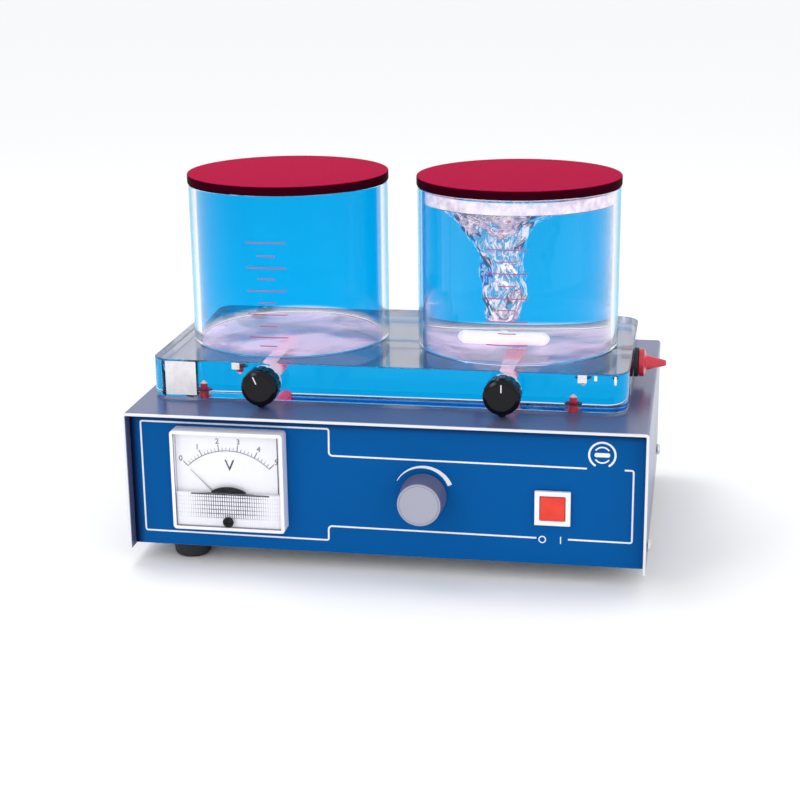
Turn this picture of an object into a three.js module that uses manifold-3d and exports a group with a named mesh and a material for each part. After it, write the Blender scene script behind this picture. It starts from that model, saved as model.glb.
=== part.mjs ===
// Twin-cup gradient mixer on a magnetic stirrer.
// Millimetres, +Z up, front towards -Y. The design frame has X = 0 in the middle of the case,
// Y = 0 at the cover's front edge and Z = 0 on the surface that the feet stand on. The last
// lines move the whole object so that its origin is under the middle of its outer box.

import * as THREE from 'three';
import { mergeVertices } from 'three/addons/utils/BufferGeometryUtils.js';
import Module from 'manifold-3d';

const wasm = await Module();
wasm.setup();

// ---------------------------------------------------------------- driving dimensions

const GAP = 0.3; // left between two pieces that touch
const OVERCUT = 1; // how far a cutting tool runs past the face that it opens
const LARGE = 40; // sides of a cup or lid
const MEDIUM = 20; // sides of a knob, foot or motor
const SMALL = 12; // sides of a screw, shaft, hole or other small round piece

const CASE_WIDTH = 290;
const CASE_DEPTH = 200;
const CASE_HEIGHT = 80;
const SHEET = 1.5; // steel sheet of the cover, tray and rear panel
const BEND = 2; // outer bend radius of the cover
const PANEL = 2; // front panel thickness
const PANEL_RECESS = 8; // front panel's face behind the cover's front edge
const REAR_RECESS = 2.5; // rear panel's face in front of the cover's rear edge
const TRAY_SIDE = 18; // height of the tray's side flanges
const TRAY_END = 11; // height of the tray's front and rear flanges

const FOOT_HEIGHT = 10;
const FOOT_RADIUS = 11.5;
const FOOT_X = 115;
const FOOT_INSET = 25; // foot centres from the cover's front and rear edges
const RIGHT_FRONT_INSET = 46; // the right front foot stands further back than the left one
const FOOT_SHAPE = { floor: 8.6, lip: 10.4, lipTop: 1.8, recess: 4.2, recessTop: 4.6, bore: 2.3 };
const FOOT_SCREW = { head: 3.8, headBottom: 2, headTop: 4.3, shank: 2, end: 16 };
const SIDE_SCREW_Z = 22;
const SIDE_SCREW_INSET = 15;
const SIDE_SCREW = { hole: 1.8, shank: 1.5, length: 8, head: 3.5, crown: 2.4, proud: 1.9 };

const METER = { x: -85.6, z: 53, width: 64, height: 57.5, proud: 9.8, wall: 1.8 };
const METER_PIVOT_Z = 37.1;
const METER_MASK_TOP = 45.8;
const METER_ZERO_Z = 29.7;
const POINTER_REST = 45; // degrees left of upright, at zero on the scale

const KNOB = { x: 23, z: 47.6, radius: 13, proud: 17 };
const BUTTON = { x: 94, z: 44, size: 13.4, frame: 19.6, travel: 3 };

const MIXER_X = -3; // middle of the mixer block
const MIXER_Y = 100;
const BLOCK = { width: 270, depth: 136, height: 22, corner: 12, lift: 1 };
const CUP_SPACING = 135;
const CUP = { radius: 58, wall: 4, height: 91.8 };
const LID = { radius: 58.5, thickness: 5.2, step: 1.5 };
const PIN_OFFSET = { x: 105, y: 60 };
const CHANNEL_HEIGHT = 12.3; // channel and valve axes above the case
const CHANNEL_RADIUS = 2.5;
const STEM_RADIUS = 4;
const STEM_END = 106;
const VALVE_KNOB = { radius: 10.65, front: 15.7, back: 26.4 };
const FEED_OFFSET = 20; // feed hole from the middle of the stirred cup

const BAR = { x: 58.5, length: 40, radius: 4 };
const MOTOR = { radius: 19, bottom: 20, top: 62 };
const BRACKET_TOP = 64.3;
const CARRIER = { radius: 27, bottom: 70, top: 75 };
const MAGNET = { radius: 7.7, orbit: 17, top: 84 };

const INLET = { x: 95, z: 46, width: 27, height: 20, depth: 22 };
const FUSE = { x: 55, z: 46, radius: 6.5 };

// ---------------------------------------------------------------- derived places

const CASE_BOTTOM = FOOT_HEIGHT;
const CASE_TOP = FOOT_HEIGHT + CASE_HEIGHT;
const INNER_X = CASE_WIDTH / 2 - SHEET - GAP; // half width of what fits inside the cover
const INNER_TOP = CASE_TOP - SHEET - GAP;
const PANEL_BACK = PANEL_RECESS + PANEL;
const REAR_FACE = CASE_DEPTH - REAR_RECESS;
const TRAY_FRONT = PANEL_BACK + GAP;
const TRAY_REAR = REAR_FACE - SHEET - GAP;
const TRAY_FLOOR = CASE_BOTTOM + SHEET;
const BLOCK_BOTTOM = CASE_TOP + BLOCK.lift;
const BLOCK_TOP = BLOCK_BOTTOM + BLOCK.height;
const BLOCK_FRONT = MIXER_Y - BLOCK.depth / 2;
const BLOCK_RIGHT = MIXER_X + BLOCK.width / 2;
const CUP_BOTTOM = BLOCK_TOP + GAP;
const CUP_TOP = CUP_BOTTOM + CUP.height;
const CUP_INSIDE = CUP.radius - CUP.wall;
const CHANNEL_Z = CASE_TOP + CHANNEL_HEIGHT;
const SIDES = [
  { side: 'left', sign: -1, cupX: MIXER_X - CUP_SPACING / 2 },
  { side: 'right', sign: 1, cupX: MIXER_X + CUP_SPACING / 2 },
];
const ENDS = [
  { end: 'front', sign: -1, screwY: SIDE_SCREW_INSET },
  { end: 'rear', sign: 1, screwY: CASE_DEPTH - SIDE_SCREW_INSET },
];

// ---------------------------------------------------------------- shape makers

// A profile of [radius, height] points, from the axis and back to it, turned about an axis.
function turned(profile, axis = 'z', segments = SMALL) {
  const points = profile.map(([radius, height]) => new THREE.Vector2(radius, height));
  const geometry = new THREE.LatheGeometry(points, segments);
  if (axis === 'z') {
    geometry.rotateX(Math.PI / 2);
  }
  if (axis === 'x') {
    geometry.rotateZ(-Math.PI / 2);
  }
  return geometry;
}

function rod(radius, from, to, axis = 'z', segments = SMALL) {
  return turned([[0, from], [radius, from], [radius, to], [0, to]], axis, segments);
}

function ring(outer, inner, from, to, axis = 'z', segments = SMALL) {
  const bore = rod(inner, from - OVERCUT, to + OVERCUT, axis, segments);
  return cut(rod(outer, from, to, axis, segments), bore);
}

function box(x0, x1, y0, y1, z0, z1) {
  const geometry = new THREE.BoxGeometry(x1 - x0, y1 - y0, z1 - z0);
  return geometry.translate((x0 + x1) / 2, (y0 + y1) / 2, (z0 + z1) / 2);
}

// An outline in X and Y, made solid from one height to another.
function slab(shape, from, to, curveSegments = 6) {
  const options = { depth: to - from, bevelEnabled: false, curveSegments };
  return new THREE.ExtrudeGeometry(shape, options).translate(0, 0, from);
}

// An outline in X and Z, made solid from one Y to another.
function sheetAlongY(shape, from, to, curveSegments = 6) {
  return slab(shape, 0, to - from, curveSegments).rotateX(Math.PI / 2).translate(0, to, 0);
}

function polygon(points) {
  return new THREE.Shape(points.map(([x, y]) => new THREE.Vector2(x, y)));
}

function roundedRectangle(x0, x1, y0, y1, radius) {
  const shape = new THREE.Shape();
  shape.moveTo(x0 + radius, y0);
  shape.lineTo(x1 - radius, y0);
  shape.absarc(x1 - radius, y0 + radius, radius, -Math.PI / 2, 0, false);
  shape.absarc(x1 - radius, y1 - radius, radius, 0, Math.PI / 2, false);
  shape.absarc(x0 + radius, y1 - radius, radius, Math.PI / 2, Math.PI, false);
  shape.absarc(x0 + radius, y0 + radius, radius, Math.PI, Math.PI * 1.5, false);
  return shape;
}

function solid(shape) {
  if (shape instanceof wasm.Manifold) {
    return shape;
  }
  const bare = shape.clone();
  bare.deleteAttribute('normal');
  bare.deleteAttribute('uv');
  const merged = mergeVertices(bare, 1e-4);
  const corners = [];
  const index = merged.index.array;
  for (let i = 0; i < index.length; i += 3) {
    const [a, b, c] = [index[i], index[i + 1], index[i + 2]];
    if (a !== b && b !== c && c !== a) {
      corners.push(a, b, c);
    }
  }
  return new wasm.Manifold(new wasm.Mesh({
    numProp: 3,
    vertProperties: new Float32Array(merged.attributes.position.array),
    triVerts: new Uint32Array(corners),
  }));
}

function join(first, ...others) {
  return others.reduce((sum, other) => sum.add(solid(other)), solid(first));
}

function cut(first, ...tools) {
  return tools.reduce((rest, tool) => rest.subtract(solid(tool)), solid(first));
}

function placed(shape, x, y, z) {
  return shape instanceof wasm.Manifold ? shape.translate([x, y, z]) : shape.translate(x, y, z);
}

// ---------------------------------------------------------------- finishes

const FINISHES = {
  greyPaint: { color: 0xb4b0c0, roughness: 0.35, metalness: 0.3 },
  bluePaint: { color: 0x0a4c9c, roughness: 0.4, metalness: 0 },
  steel: { color: 0xb8b8bc, roughness: 0.3, metalness: 1 },
  aluminium: { color: 0xc8c8cc, roughness: 0.4, metalness: 1 },
  copper: { color: 0xb5622f, roughness: 0.4, metalness: 1 },
  magnet: { color: 0x3b3b40, roughness: 0.5, metalness: 0.6 },
  blackRubber: { color: 0x141416, roughness: 0.85, metalness: 0 },
  blackPlastic: { color: 0x0e0e10, roughness: 0.2, metalness: 0 },
  whitePlastic: { color: 0xf4f4f6, roughness: 0.4, metalness: 0 },
  greyPlastic: { color: 0xb6b6c8, roughness: 0.4, metalness: 0 },
  redPlastic: { color: 0xd02030, roughness: 0.35, metalness: 0 },
  buttonRed: { color: 0xf04a3c, roughness: 0.3, metalness: 0 },
  lidRed: { color: 0xb92646, roughness: 0.3, metalness: 0 },
  boardGreen: { color: 0x2f6b3c, roughness: 0.6, metalness: 0 },
  clearAcrylic: { color: 0x9fdcf4, roughness: 0.05, metalness: 0 },
};

const stirrer = new THREE.Group();

function add(name, shape, finish) {
  const { vertProperties, triVerts } = solid(shape).getMesh();
  const geometry = new THREE.BufferGeometry();
  geometry.setAttribute('position', new THREE.BufferAttribute(vertProperties, 3));
  geometry.setIndex(new THREE.BufferAttribute(triVerts, 1));
  geometry.computeVertexNormals();
  const mesh = new THREE.Mesh(geometry, new THREE.MeshStandardMaterial(FINISHES[finish]));
  mesh.name = name;
  stirrer.add(mesh);
}

// ---------------------------------------------------------------- case

const PIN = { stub: 2, body: 2.7, flange: 4.8, stud: 2.2 };

function pinPlaces() {
  return ENDS.flatMap(({ end, sign: back }) => SIDES.map(({ side, sign: right }) => ({
    name: `${end}_${side}`,
    x: MIXER_X + right * PIN_OFFSET.x,
    y: MIXER_Y + back * PIN_OFFSET.y,
  })));
}

function sideScrewHole(sign, y, radius) {
  const reach = CASE_WIDTH / 2 + OVERCUT;
  return placed(rod(radius, reach - 10, reach, 'x'), sign > 0 ? 0 : 10 - 2 * reach, y, SIDE_SCREW_Z);
}

// The cover is one sheet folded down at both sides, open at the front, rear and underneath.
function caseCover() {
  const half = CASE_WIDTH / 2;
  const inner = half - SHEET;
  const bendInside = BEND - SHEET;
  const outline = new THREE.Shape();
  outline.moveTo(half, CASE_BOTTOM);
  outline.lineTo(half, CASE_TOP - BEND);
  outline.absarc(half - BEND, CASE_TOP - BEND, BEND, 0, Math.PI / 2, false);
  outline.lineTo(BEND - half, CASE_TOP);
  outline.absarc(BEND - half, CASE_TOP - BEND, BEND, Math.PI / 2, Math.PI, false);
  outline.lineTo(-half, CASE_BOTTOM);
  outline.lineTo(-inner, CASE_BOTTOM);
  outline.lineTo(-inner, CASE_TOP - BEND);
  outline.absarc(BEND - half, CASE_TOP - BEND, bendInside, Math.PI, Math.PI / 2, true);
  outline.lineTo(half - BEND, CASE_TOP - SHEET);
  outline.absarc(half - BEND, CASE_TOP - BEND, bendInside, Math.PI / 2, 0, true);
  outline.lineTo(inner, CASE_BOTTOM);
  const holes = pinPlaces().map(({ x, y }) => placed(
    rod(PIN.stub + GAP, CASE_TOP - SHEET - OVERCUT, CASE_TOP + OVERCUT), x, y, 0));
  for (const { sign } of SIDES) {
    for (const { screwY } of ENDS) {
      holes.push(sideScrewHole(sign, screwY, SIDE_SCREW.hole));
    }
  }
  return cut(sheetAlongY(outline, 0, CASE_DEPTH, 3), ...holes);
}

// The tray closes the bottom and carries everything inside. Four posts hold the circuit board.
function baseTray() {
  const floor = box(-INNER_X, INNER_X, TRAY_FRONT, TRAY_REAR, CASE_BOTTOM, TRAY_FLOOR);
  const sideTop = CASE_BOTTOM + TRAY_SIDE;
  const endTop = CASE_BOTTOM + TRAY_END;
  const walls = [
    box(-INNER_X, SHEET - INNER_X, TRAY_FRONT, TRAY_REAR, CASE_BOTTOM, sideTop),
    box(INNER_X - SHEET, INNER_X, TRAY_FRONT, TRAY_REAR, CASE_BOTTOM, sideTop),
    box(-INNER_X, INNER_X, TRAY_FRONT, TRAY_FRONT + SHEET, CASE_BOTTOM, endTop),
    box(-INNER_X, INNER_X, TRAY_REAR - SHEET, TRAY_REAR, CASE_BOTTOM, endTop),
  ];
  const posts = boardCorners(-BOARD.postInset).map(([x, y]) => placed(
    rod(BOARD.post, CASE_BOTTOM + SHEET / 2, BOARD.bottom - GAP), x, y, 0));
  const holes = [];
  for (const { side, sign } of SIDES) {
    for (const { end, screwY } of ENDS) {
      const screwBore = rod(FOOT_SHAPE.bore, 0, CASE_BOTTOM + 2 * SHEET);
      holes.push(placed(screwBore, sign * FOOT_X, footY(end, side), 0));
      holes.push(sideScrewHole(sign, screwY, SIDE_SCREW.hole));
    }
  }
  return cut(join(floor, ...walls, ...posts), ...holes);
}

const METER_HOLE = 26.5;
const BUSH_HOLE = 4.2;
const SWITCH_BODY = 16.6;
const PANEL_BOTTOM = CASE_BOTTOM + 1;

function frontPanel() {
  const plate = box(-INNER_X, INNER_X, PANEL_RECESS, PANEL_BACK, PANEL_BOTTOM, INNER_TOP);
  const from = PANEL_RECESS - OVERCUT;
  const to = PANEL_BACK + OVERCUT;
  const opening = SWITCH_BODY / 2 + GAP;
  return cut(
    plate,
    placed(rod(METER_HOLE, from, to, 'y', MEDIUM), METER.x, 0, METER.z),
    placed(rod(BUSH_HOLE, from, to, 'y'), KNOB.x, 0, KNOB.z),
    box(BUTTON.x - opening, BUTTON.x + opening, from, to, BUTTON.z - opening, BUTTON.z + opening),
  );
}

const VENT = { count: 9, pitch: 7, width: 3, bottom: 34, top: 64, x: -100 };

function rearPanel() {
  const plate = box(-INNER_X, INNER_X, REAR_FACE - SHEET, REAR_FACE, PANEL_BOTTOM, INNER_TOP);
  const from = REAR_FACE - SHEET - OVERCUT;
  const to = REAR_FACE + OVERCUT;
  const halfWidth = INLET.width / 2 + GAP;
  const halfHeight = INLET.height / 2 + GAP;
  const vents = Array.from({ length: VENT.count }, (_, i) => {
    const x = VENT.x + i * VENT.pitch;
    return box(x, x + VENT.width, from, to, VENT.bottom, VENT.top);
  });
  return cut(
    plate,
    box(INLET.x - halfWidth, INLET.x + halfWidth, from, to, INLET.z - halfHeight, INLET.z + halfHeight),
    placed(rod(FUSE.radius + GAP, from, to, 'y'), FUSE.x, 0, FUSE.z),
    ...vents,
  );
}

// A rubber foot tapers to the floor and hides its screw's head in a recess.
function foot() {
  const top = FOOT_HEIGHT - GAP;
  const { floor, lip, lipTop, recess, recessTop, bore } = FOOT_SHAPE;
  const body = turned(
    [[0, 0], [floor, 0], [lip, lipTop], [FOOT_RADIUS, top], [0, top]], 'z', MEDIUM);
  return cut(body, rod(recess, -OVERCUT, recessTop), rod(bore, 0, top + OVERCUT));
}

function footScrew() {
  const { head, headBottom, headTop, shank, end } = FOOT_SCREW;
  return join(rod(head, headBottom, headTop), rod(shank, headTop, end));
}

function footY(end, side) {
  if (end === 'rear') {
    return CASE_DEPTH - FOOT_INSET;
  }
  return side === 'right' ? RIGHT_FRONT_INSET : FOOT_INSET;
}

function sideScrew(sign) {
  const face = CASE_WIDTH / 2 + GAP;
  const { shank, length, head, crown, proud } = SIDE_SCREW;
  const profile = [
    [0, -length], [shank, -length], [shank, 0], [head, 0], [head - 0.2, proud / 2], [crown, proud],
    [0, proud],
  ];
  const screw = solid(turned(profile, 'x')).translate([face, 0, 0]);
  return sign > 0 ? screw : screw.mirror([1, 0, 0]);
}

function addCase() {
  add('case_cover', caseCover(), 'greyPaint');
  add('base_tray', baseTray(), 'steel');
  add('front_panel', frontPanel(), 'bluePaint');
  add('rear_panel', rearPanel(), 'greyPaint');
  for (const { side, sign } of SIDES) {
    for (const { end, screwY } of ENDS) {
      const y = footY(end, side);
      add(`foot_${end}_${side}`, placed(foot(), sign * FOOT_X, y, 0), 'blackRubber');
      add(`foot_screw_${end}_${side}`, placed(footScrew(), sign * FOOT_X, y, 0), 'steel');
      add(`cover_screw_${end}_${side}`, placed(sideScrew(sign), 0, screwY, SIDE_SCREW_Z), 'steel');
    }
  }
}

// ---------------------------------------------------------------- voltmeter

// Layers from front to back: clear cover, mask and movement cap, pointer, dial, body.
const METER_FRONT = PANEL_RECESS - METER.proud;
const METER_BACK = PANEL_RECESS - GAP;
const LAYER = {
  cover: [METER_FRONT, METER_FRONT + 1.4],
  mask: [METER_FRONT + 1.7, METER_FRONT + 2.7],
  pointer: [METER_FRONT + 3.3, METER_FRONT + 3.8],
  dial: [METER_FRONT + 4.5, METER_FRONT + 5.3],
  body: [METER_FRONT + 5.6, METER_BACK],
};
const METER_BARREL = { radius: 25, end: 34 };
const POINTER = {
  tail: 5, waist: 8, reach: 31, hub: 2, axle: 0.5, axleEnd: 8.5, socket: 0.9, socketEnd: 9, dialHole: 1.6,
};
const ZERO_SCREW = { head: 3.1, headHeight: 1.1, slot: 0.8, slotDepth: 0.5, shank: 1.6, hole: 2 };
const METER_CLEAR = { width: METER.width / 2 - METER.wall, height: METER.height / 2 - METER.wall };

function meterBlock(inset, from, to) {
  const halfWidth = METER_CLEAR.width - inset;
  const halfHeight = METER_CLEAR.height - inset;
  const { x, z } = METER;
  return box(x - halfWidth, x + halfWidth, from, to, z - halfHeight, z + halfHeight);
}

function zeroHole(from, to) {
  return placed(rod(ZERO_SCREW.hole, from, to, 'y'), METER.x, 0, METER_ZERO_Z);
}

function meterCover() {
  const halfWidth = METER.width / 2;
  const halfHeight = METER.height / 2;
  const outline = roundedRectangle(
    METER.x - halfWidth, METER.x + halfWidth, METER.z - halfHeight, METER.z + halfHeight, 2);
  return cut(
    sheetAlongY(outline, METER_FRONT, METER_BACK, 3),
    meterBlock(0, LAYER.cover[1], METER_BACK + OVERCUT),
    zeroHole(METER_FRONT - OVERCUT, LAYER.mask[0]),
  );
}

function meterMask() {
  const half = METER_CLEAR.width - GAP;
  const bottom = METER.z - METER_CLEAR.height + GAP;
  const [front, back] = LAYER.mask;
  const plate = box(METER.x - half, METER.x + half, front, back, bottom, METER_MASK_TOP);
  return cut(plate, zeroHole(front - OVERCUT, back + OVERCUT));
}

// The low black arch that covers the moving coil, just above the mask.
function meterMovementCap() {
  const base = METER_MASK_TOP + GAP;
  const arch = new THREE.Shape();
  arch.moveTo(METER.x - 10, base);
  arch.lineTo(METER.x + 10, base);
  arch.lineTo(METER.x + 10, base + 0.6);
  arch.quadraticCurveTo(METER.x + 6, base + 3.4, METER.x, base + 3.4);
  arch.quadraticCurveTo(METER.x - 6, base + 3.4, METER.x - 10, base + 0.6);
  return sheetAlongY(arch, ...LAYER.mask, 4);
}

function meterDial() {
  const [front, back] = LAYER.dial;
  const hole = rod(POINTER.dialHole, front - OVERCUT, back + OVERCUT, 'y');
  return cut(meterBlock(GAP, front, back), placed(hole, METER.x, 0, METER_PIVOT_Z));
}

// The body fills the cover's back and reaches through the panel as a round barrel.
function meterBody() {
  const { radius, end } = METER_BARREL;
  const barrel = placed(rod(radius, METER_BACK - 1, end, 'y', MEDIUM), METER.x, 0, METER.z);
  const socket = rod(POINTER.socket, LAYER.body[0] - OVERCUT, POINTER.socketEnd, 'y');
  const pivot = placed(socket, METER.x, 0, METER_PIVOT_Z);
  return cut(join(meterBlock(GAP, ...LAYER.body), barrel), pivot);
}

function meterPointer() {
  const [front, back] = LAYER.pointer;
  const { tail, reach, waist, hub: hubRadius, axle: axleRadius, axleEnd } = POINTER;
  const blade = polygon([
    [-0.7, -tail], [0.7, -tail], [0.55, waist], [0.2, reach], [-0.2, reach], [-0.55, waist],
  ]);
  const hub = rod(hubRadius, front - GAP, back + GAP, 'y');
  const axle = rod(axleRadius, front, axleEnd, 'y');
  const angle = -POINTER_REST;
  const upright = join(sheetAlongY(blade, front, back), hub, axle);
  return upright.rotate([0, angle, 0]).translate([METER.x, 0, METER_PIVOT_Z]);
}

function meterZeroScrew() {
  const seat = METER_FRONT - GAP;
  const { head: headRadius, headHeight, slot: slotWidth, slotDepth, shank: shankRadius } = ZERO_SCREW;
  const front = seat - headHeight;
  const head = rod(headRadius, front, seat, 'y');
  const slot = box(
    -headRadius - OVERCUT, headRadius + OVERCUT, front - OVERCUT, front + slotDepth,
    -slotWidth / 2, slotWidth / 2);
  const shank = rod(shankRadius, seat - 0.1, LAYER.mask[1], 'y');
  return placed(cut(join(head, shank), slot), METER.x, 0, METER_ZERO_Z);
}

function addMeter() {
  add('meter_cover', meterCover(), 'clearAcrylic');
  add('meter_mask', meterMask(), 'whitePlastic');
  add('meter_movement_cap', meterMovementCap(), 'blackPlastic');
  add('meter_dial', meterDial(), 'whitePlastic');
  add('meter_body', meterBody(), 'blackPlastic');
  add('meter_pointer', meterPointer(), 'blackPlastic');
  add('meter_zero_screw', meterZeroScrew(), 'blackPlastic');
}

// ---------------------------------------------------------------- speed control and switch

const SHAFT_RADIUS = 3;
const BUSH_RADIUS = 3.9;
const NUT = { radius: 6.4, front: PANEL_RECESS - 3.2 };
const POT = { radius: 12, back: 22, bushProud: 0.6, boreEnd: 20.5 };
const LUGS = { half: 6, from: 4, thickness: 1, bottom: -17, top: -8 };
const SHAFT_END = 20;
const GRIP = { edge: 1.2, shoulder: 0.3, shoulderDepth: 0.9, boreDepth: 4, recess: 8, panelGap: 1 };

function speedKnob() {
  const front = PANEL_RECESS - KNOB.proud;
  const back = PANEL_RECESS - GRIP.panelGap;
  const r = KNOB.radius;
  const shoulder = [r - GRIP.shoulder, front + GRIP.shoulderDepth];
  const profile = [[0, front], [r - GRIP.edge, front], shoulder, [r, back], [0, back]];
  const body = turned(profile, 'y', MEDIUM);
  const bore = rod(SHAFT_RADIUS + GAP, front + GRIP.boreDepth, back + OVERCUT, 'y');
  const recess = rod(GRIP.recess, NUT.front - 1.2, back + OVERCUT, 'y');
  return placed(cut(body, bore, recess), KNOB.x, 0, KNOB.z);
}

function speedShaft() {
  const tip = PANEL_RECESS - KNOB.proud + GRIP.boreDepth + 0.5;
  return placed(rod(SHAFT_RADIUS, tip, SHAFT_END, 'y'), KNOB.x, 0, KNOB.z);
}

function potentiometer() {
  const body = rod(POT.radius, PANEL_BACK + GAP, POT.back, 'y', MEDIUM);
  const bush = rod(BUSH_RADIUS, NUT.front - POT.bushProud, PANEL_BACK + 2, 'y');
  const from = PANEL_BACK + LUGS.from;
  const lugs = box(-LUGS.half, LUGS.half, from, from + LUGS.thickness, LUGS.bottom, LUGS.top);
  const bore = rod(SHAFT_RADIUS + GAP, 0, POT.boreEnd, 'y');
  return placed(cut(join(body, bush, lugs), bore), KNOB.x, 0, KNOB.z);
}

function bushNut() {
  const hexagon = rod(NUT.radius, NUT.front, PANEL_RECESS - GAP, 'y', 6);
  const bore = rod(BUSH_RADIUS + GAP, 0, PANEL_RECESS + OVERCUT, 'y');
  return placed(cut(hexagon, bore), KNOB.x, 0, KNOB.z);
}

function squareBlock(size, from, to) {
  const half = size / 2;
  return box(BUTTON.x - half, BUTTON.x + half, from, to, BUTTON.z - half, BUTTON.z + half);
}

const SWITCH_FRONT = PANEL_RECESS - 2.6;
const SWITCH = { back: 30, wellEnd: 20, buttonProud: 0.4 };
const TERMINAL = { offset: 4, halfWidth: 1.5, end: 37, halfThickness: 0.4 };

function switchBody() {
  const bezel = squareBlock(BUTTON.frame, SWITCH_FRONT, PANEL_RECESS - GAP);
  const body = squareBlock(SWITCH_BODY, SWITCH_FRONT + 0.5, SWITCH.back);
  const { offset, halfWidth, end, halfThickness } = TERMINAL;
  const terminals = [-offset, offset].map((x) => placed(
    box(x - halfWidth, x + halfWidth, SWITCH.back - 1, end, -halfThickness, halfThickness),
    BUTTON.x, 0, BUTTON.z));
  const well = squareBlock(BUTTON.size + 2 * GAP, 0, SWITCH.wellEnd);
  return cut(join(bezel, body, ...terminals), well);
}

function powerButton() {
  const back = SWITCH.wellEnd - BUTTON.travel - GAP;
  return squareBlock(BUTTON.size, SWITCH_FRONT - SWITCH.buttonProud, back);
}

function addControls() {
  add('speed_knob', speedKnob(), 'greyPlastic');
  add('speed_shaft', speedShaft(), 'steel');
  add('potentiometer', potentiometer(), 'steel');
  add('potentiometer_nut', bushNut(), 'steel');
  add('power_button', powerButton(), 'buttonRed');
  add('switch_body', switchBody(), 'whitePlastic');
}

// ---------------------------------------------------------------- drive and electrics

const MOTOR_SHAFT = 2;
const MOTOR_SHAFT_BOTTOM = 40;
const BOSS = { lower: 7, upper: 5.5, height: 3 };

function motor() {
  const { radius, bottom, top } = MOTOR;
  const can = bottom + BOSS.height;
  const end = top + BOSS.height;
  const body = turned([
    [0, bottom], [BOSS.lower, bottom], [BOSS.lower, can], [radius, can],
    [radius, top], [BOSS.upper, top], [BOSS.upper, end], [0, end],
  ], 'z', MEDIUM);
  const bore = rod(MOTOR_SHAFT + GAP, MOTOR_SHAFT_BOTTOM, end + OVERCUT);
  return placed(cut(body, bore), BAR.x, MIXER_Y, 0);
}

function motorShaft() {
  return placed(rod(MOTOR_SHAFT, MOTOR_SHAFT_BOTTOM + GAP, CARRIER.top), BAR.x, MIXER_Y, 0);
}

const BRIDGE = { foot: 50, inner: 35, sheet: 2, halfDepth: 23, bossHole: 6 };

// A sheet bridge that stands on the tray; the motor hangs under its top.
function motorBracket() {
  const top = BRACKET_TOP;
  const under = MOTOR.top + GAP;
  const foot0 = TRAY_FLOOR + GAP;
  const foot1 = foot0 + BRIDGE.sheet;
  const { foot: ends, inner, halfDepth, bossHole } = BRIDGE;
  const outer = inner + BRIDGE.sheet;
  const outline = polygon([
    [-ends, foot0], [-inner, foot0], [-inner, under], [inner, under], [inner, foot0], [ends, foot0],
    [ends, foot1], [outer, foot1], [outer, top], [-outer, top], [-outer, foot1], [-ends, foot1],
  ]);
  const bridge = sheetAlongY(outline, -halfDepth, halfDepth);
  return placed(cut(bridge, rod(bossHole, under - OVERCUT, top + OVERCUT)), BAR.x, MIXER_Y, 0);
}

function magnetPocket(sign, radius, from, to) {
  return placed(rod(radius, from, to), BAR.x + sign * MAGNET.orbit, MIXER_Y, 0);
}

const HUB = { radius: 6, height: 4 };

function magnetCarrier() {
  const { radius, bottom, top } = CARRIER;
  const hub = bottom - HUB.height;
  const profile = [
    [0, hub], [HUB.radius, hub], [HUB.radius, bottom], [radius, bottom], [radius, top], [0, top],
  ];
  const disc = turned(profile, 'z', MEDIUM);
  const bore = rod(MOTOR_SHAFT + GAP, hub - OVERCUT, top + OVERCUT);
  const pockets = [-1, 1].map((sign) => magnetPocket(sign, MAGNET.radius + GAP, top - 2, top + OVERCUT));
  return cut(placed(cut(disc, bore), BAR.x, MIXER_Y, 0), ...pockets);
}

const TRANSFORMER = { x: -80, y: 148, bottom: 12.2, width: 58, height: 48, stack: 24 };
const WINDOW = { half: 5, offset: 14, yoke: 9 };
const WINDING = { half: 18.7, over: 8 };

// Laminated core with two windows; the winding fills them round the middle leg.
function transformerCore() {
  const { x, y, bottom, width, height, stack } = TRANSFORMER;
  const core = box(-width / 2, width / 2, -stack / 2, stack / 2, bottom, bottom + height);
  const windows = [-1, 1].map((sign) => placed(
    box(-WINDOW.half, WINDOW.half, -stack, stack, bottom + WINDOW.yoke, bottom + height - WINDOW.yoke),
    sign * WINDOW.offset, 0, 0));
  return placed(cut(core, ...windows), x, y, 0);
}

function transformerWinding() {
  const { x, y, bottom, height, stack } = TRANSFORMER;
  const from = bottom + WINDOW.yoke + GAP;
  const to = bottom + height - WINDOW.yoke - GAP;
  const reach = stack / 2 + WINDING.over;
  const legHalf = WINDOW.offset - WINDOW.half + GAP;
  const winding = box(-WINDING.half, WINDING.half, -reach, reach, from, to);
  const leg = box(-legHalf, legHalf, -stack / 2 - GAP, stack / 2 + GAP, from - 1, to + 1);
  return placed(cut(winding, leg), x, y, 0);
}

const BOARD = {
  x0: -125, x1: -35, y0: 52, y1: 112, bottom: 22, thickness: 1.6, post: 3, postInset: 6,
};

const CAPACITOR = { x: -50, y: 96, radius: 8, height: 24 };
const RELAY = { x0: -75, x1: -58, y0: 60, y1: 75, height: 15 };
const HEAT_SINK = { x0: -118, x1: -86, y0: 60, sheet: 3, finPitch: 10, finEnd: 76, height: 26 };

function boardCorners(inset) {
  return [BOARD.x0 - inset, BOARD.x1 + inset].flatMap((x) => [
    [x, BOARD.y0 - inset],
    [x, BOARD.y1 + inset],
  ]);
}

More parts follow.
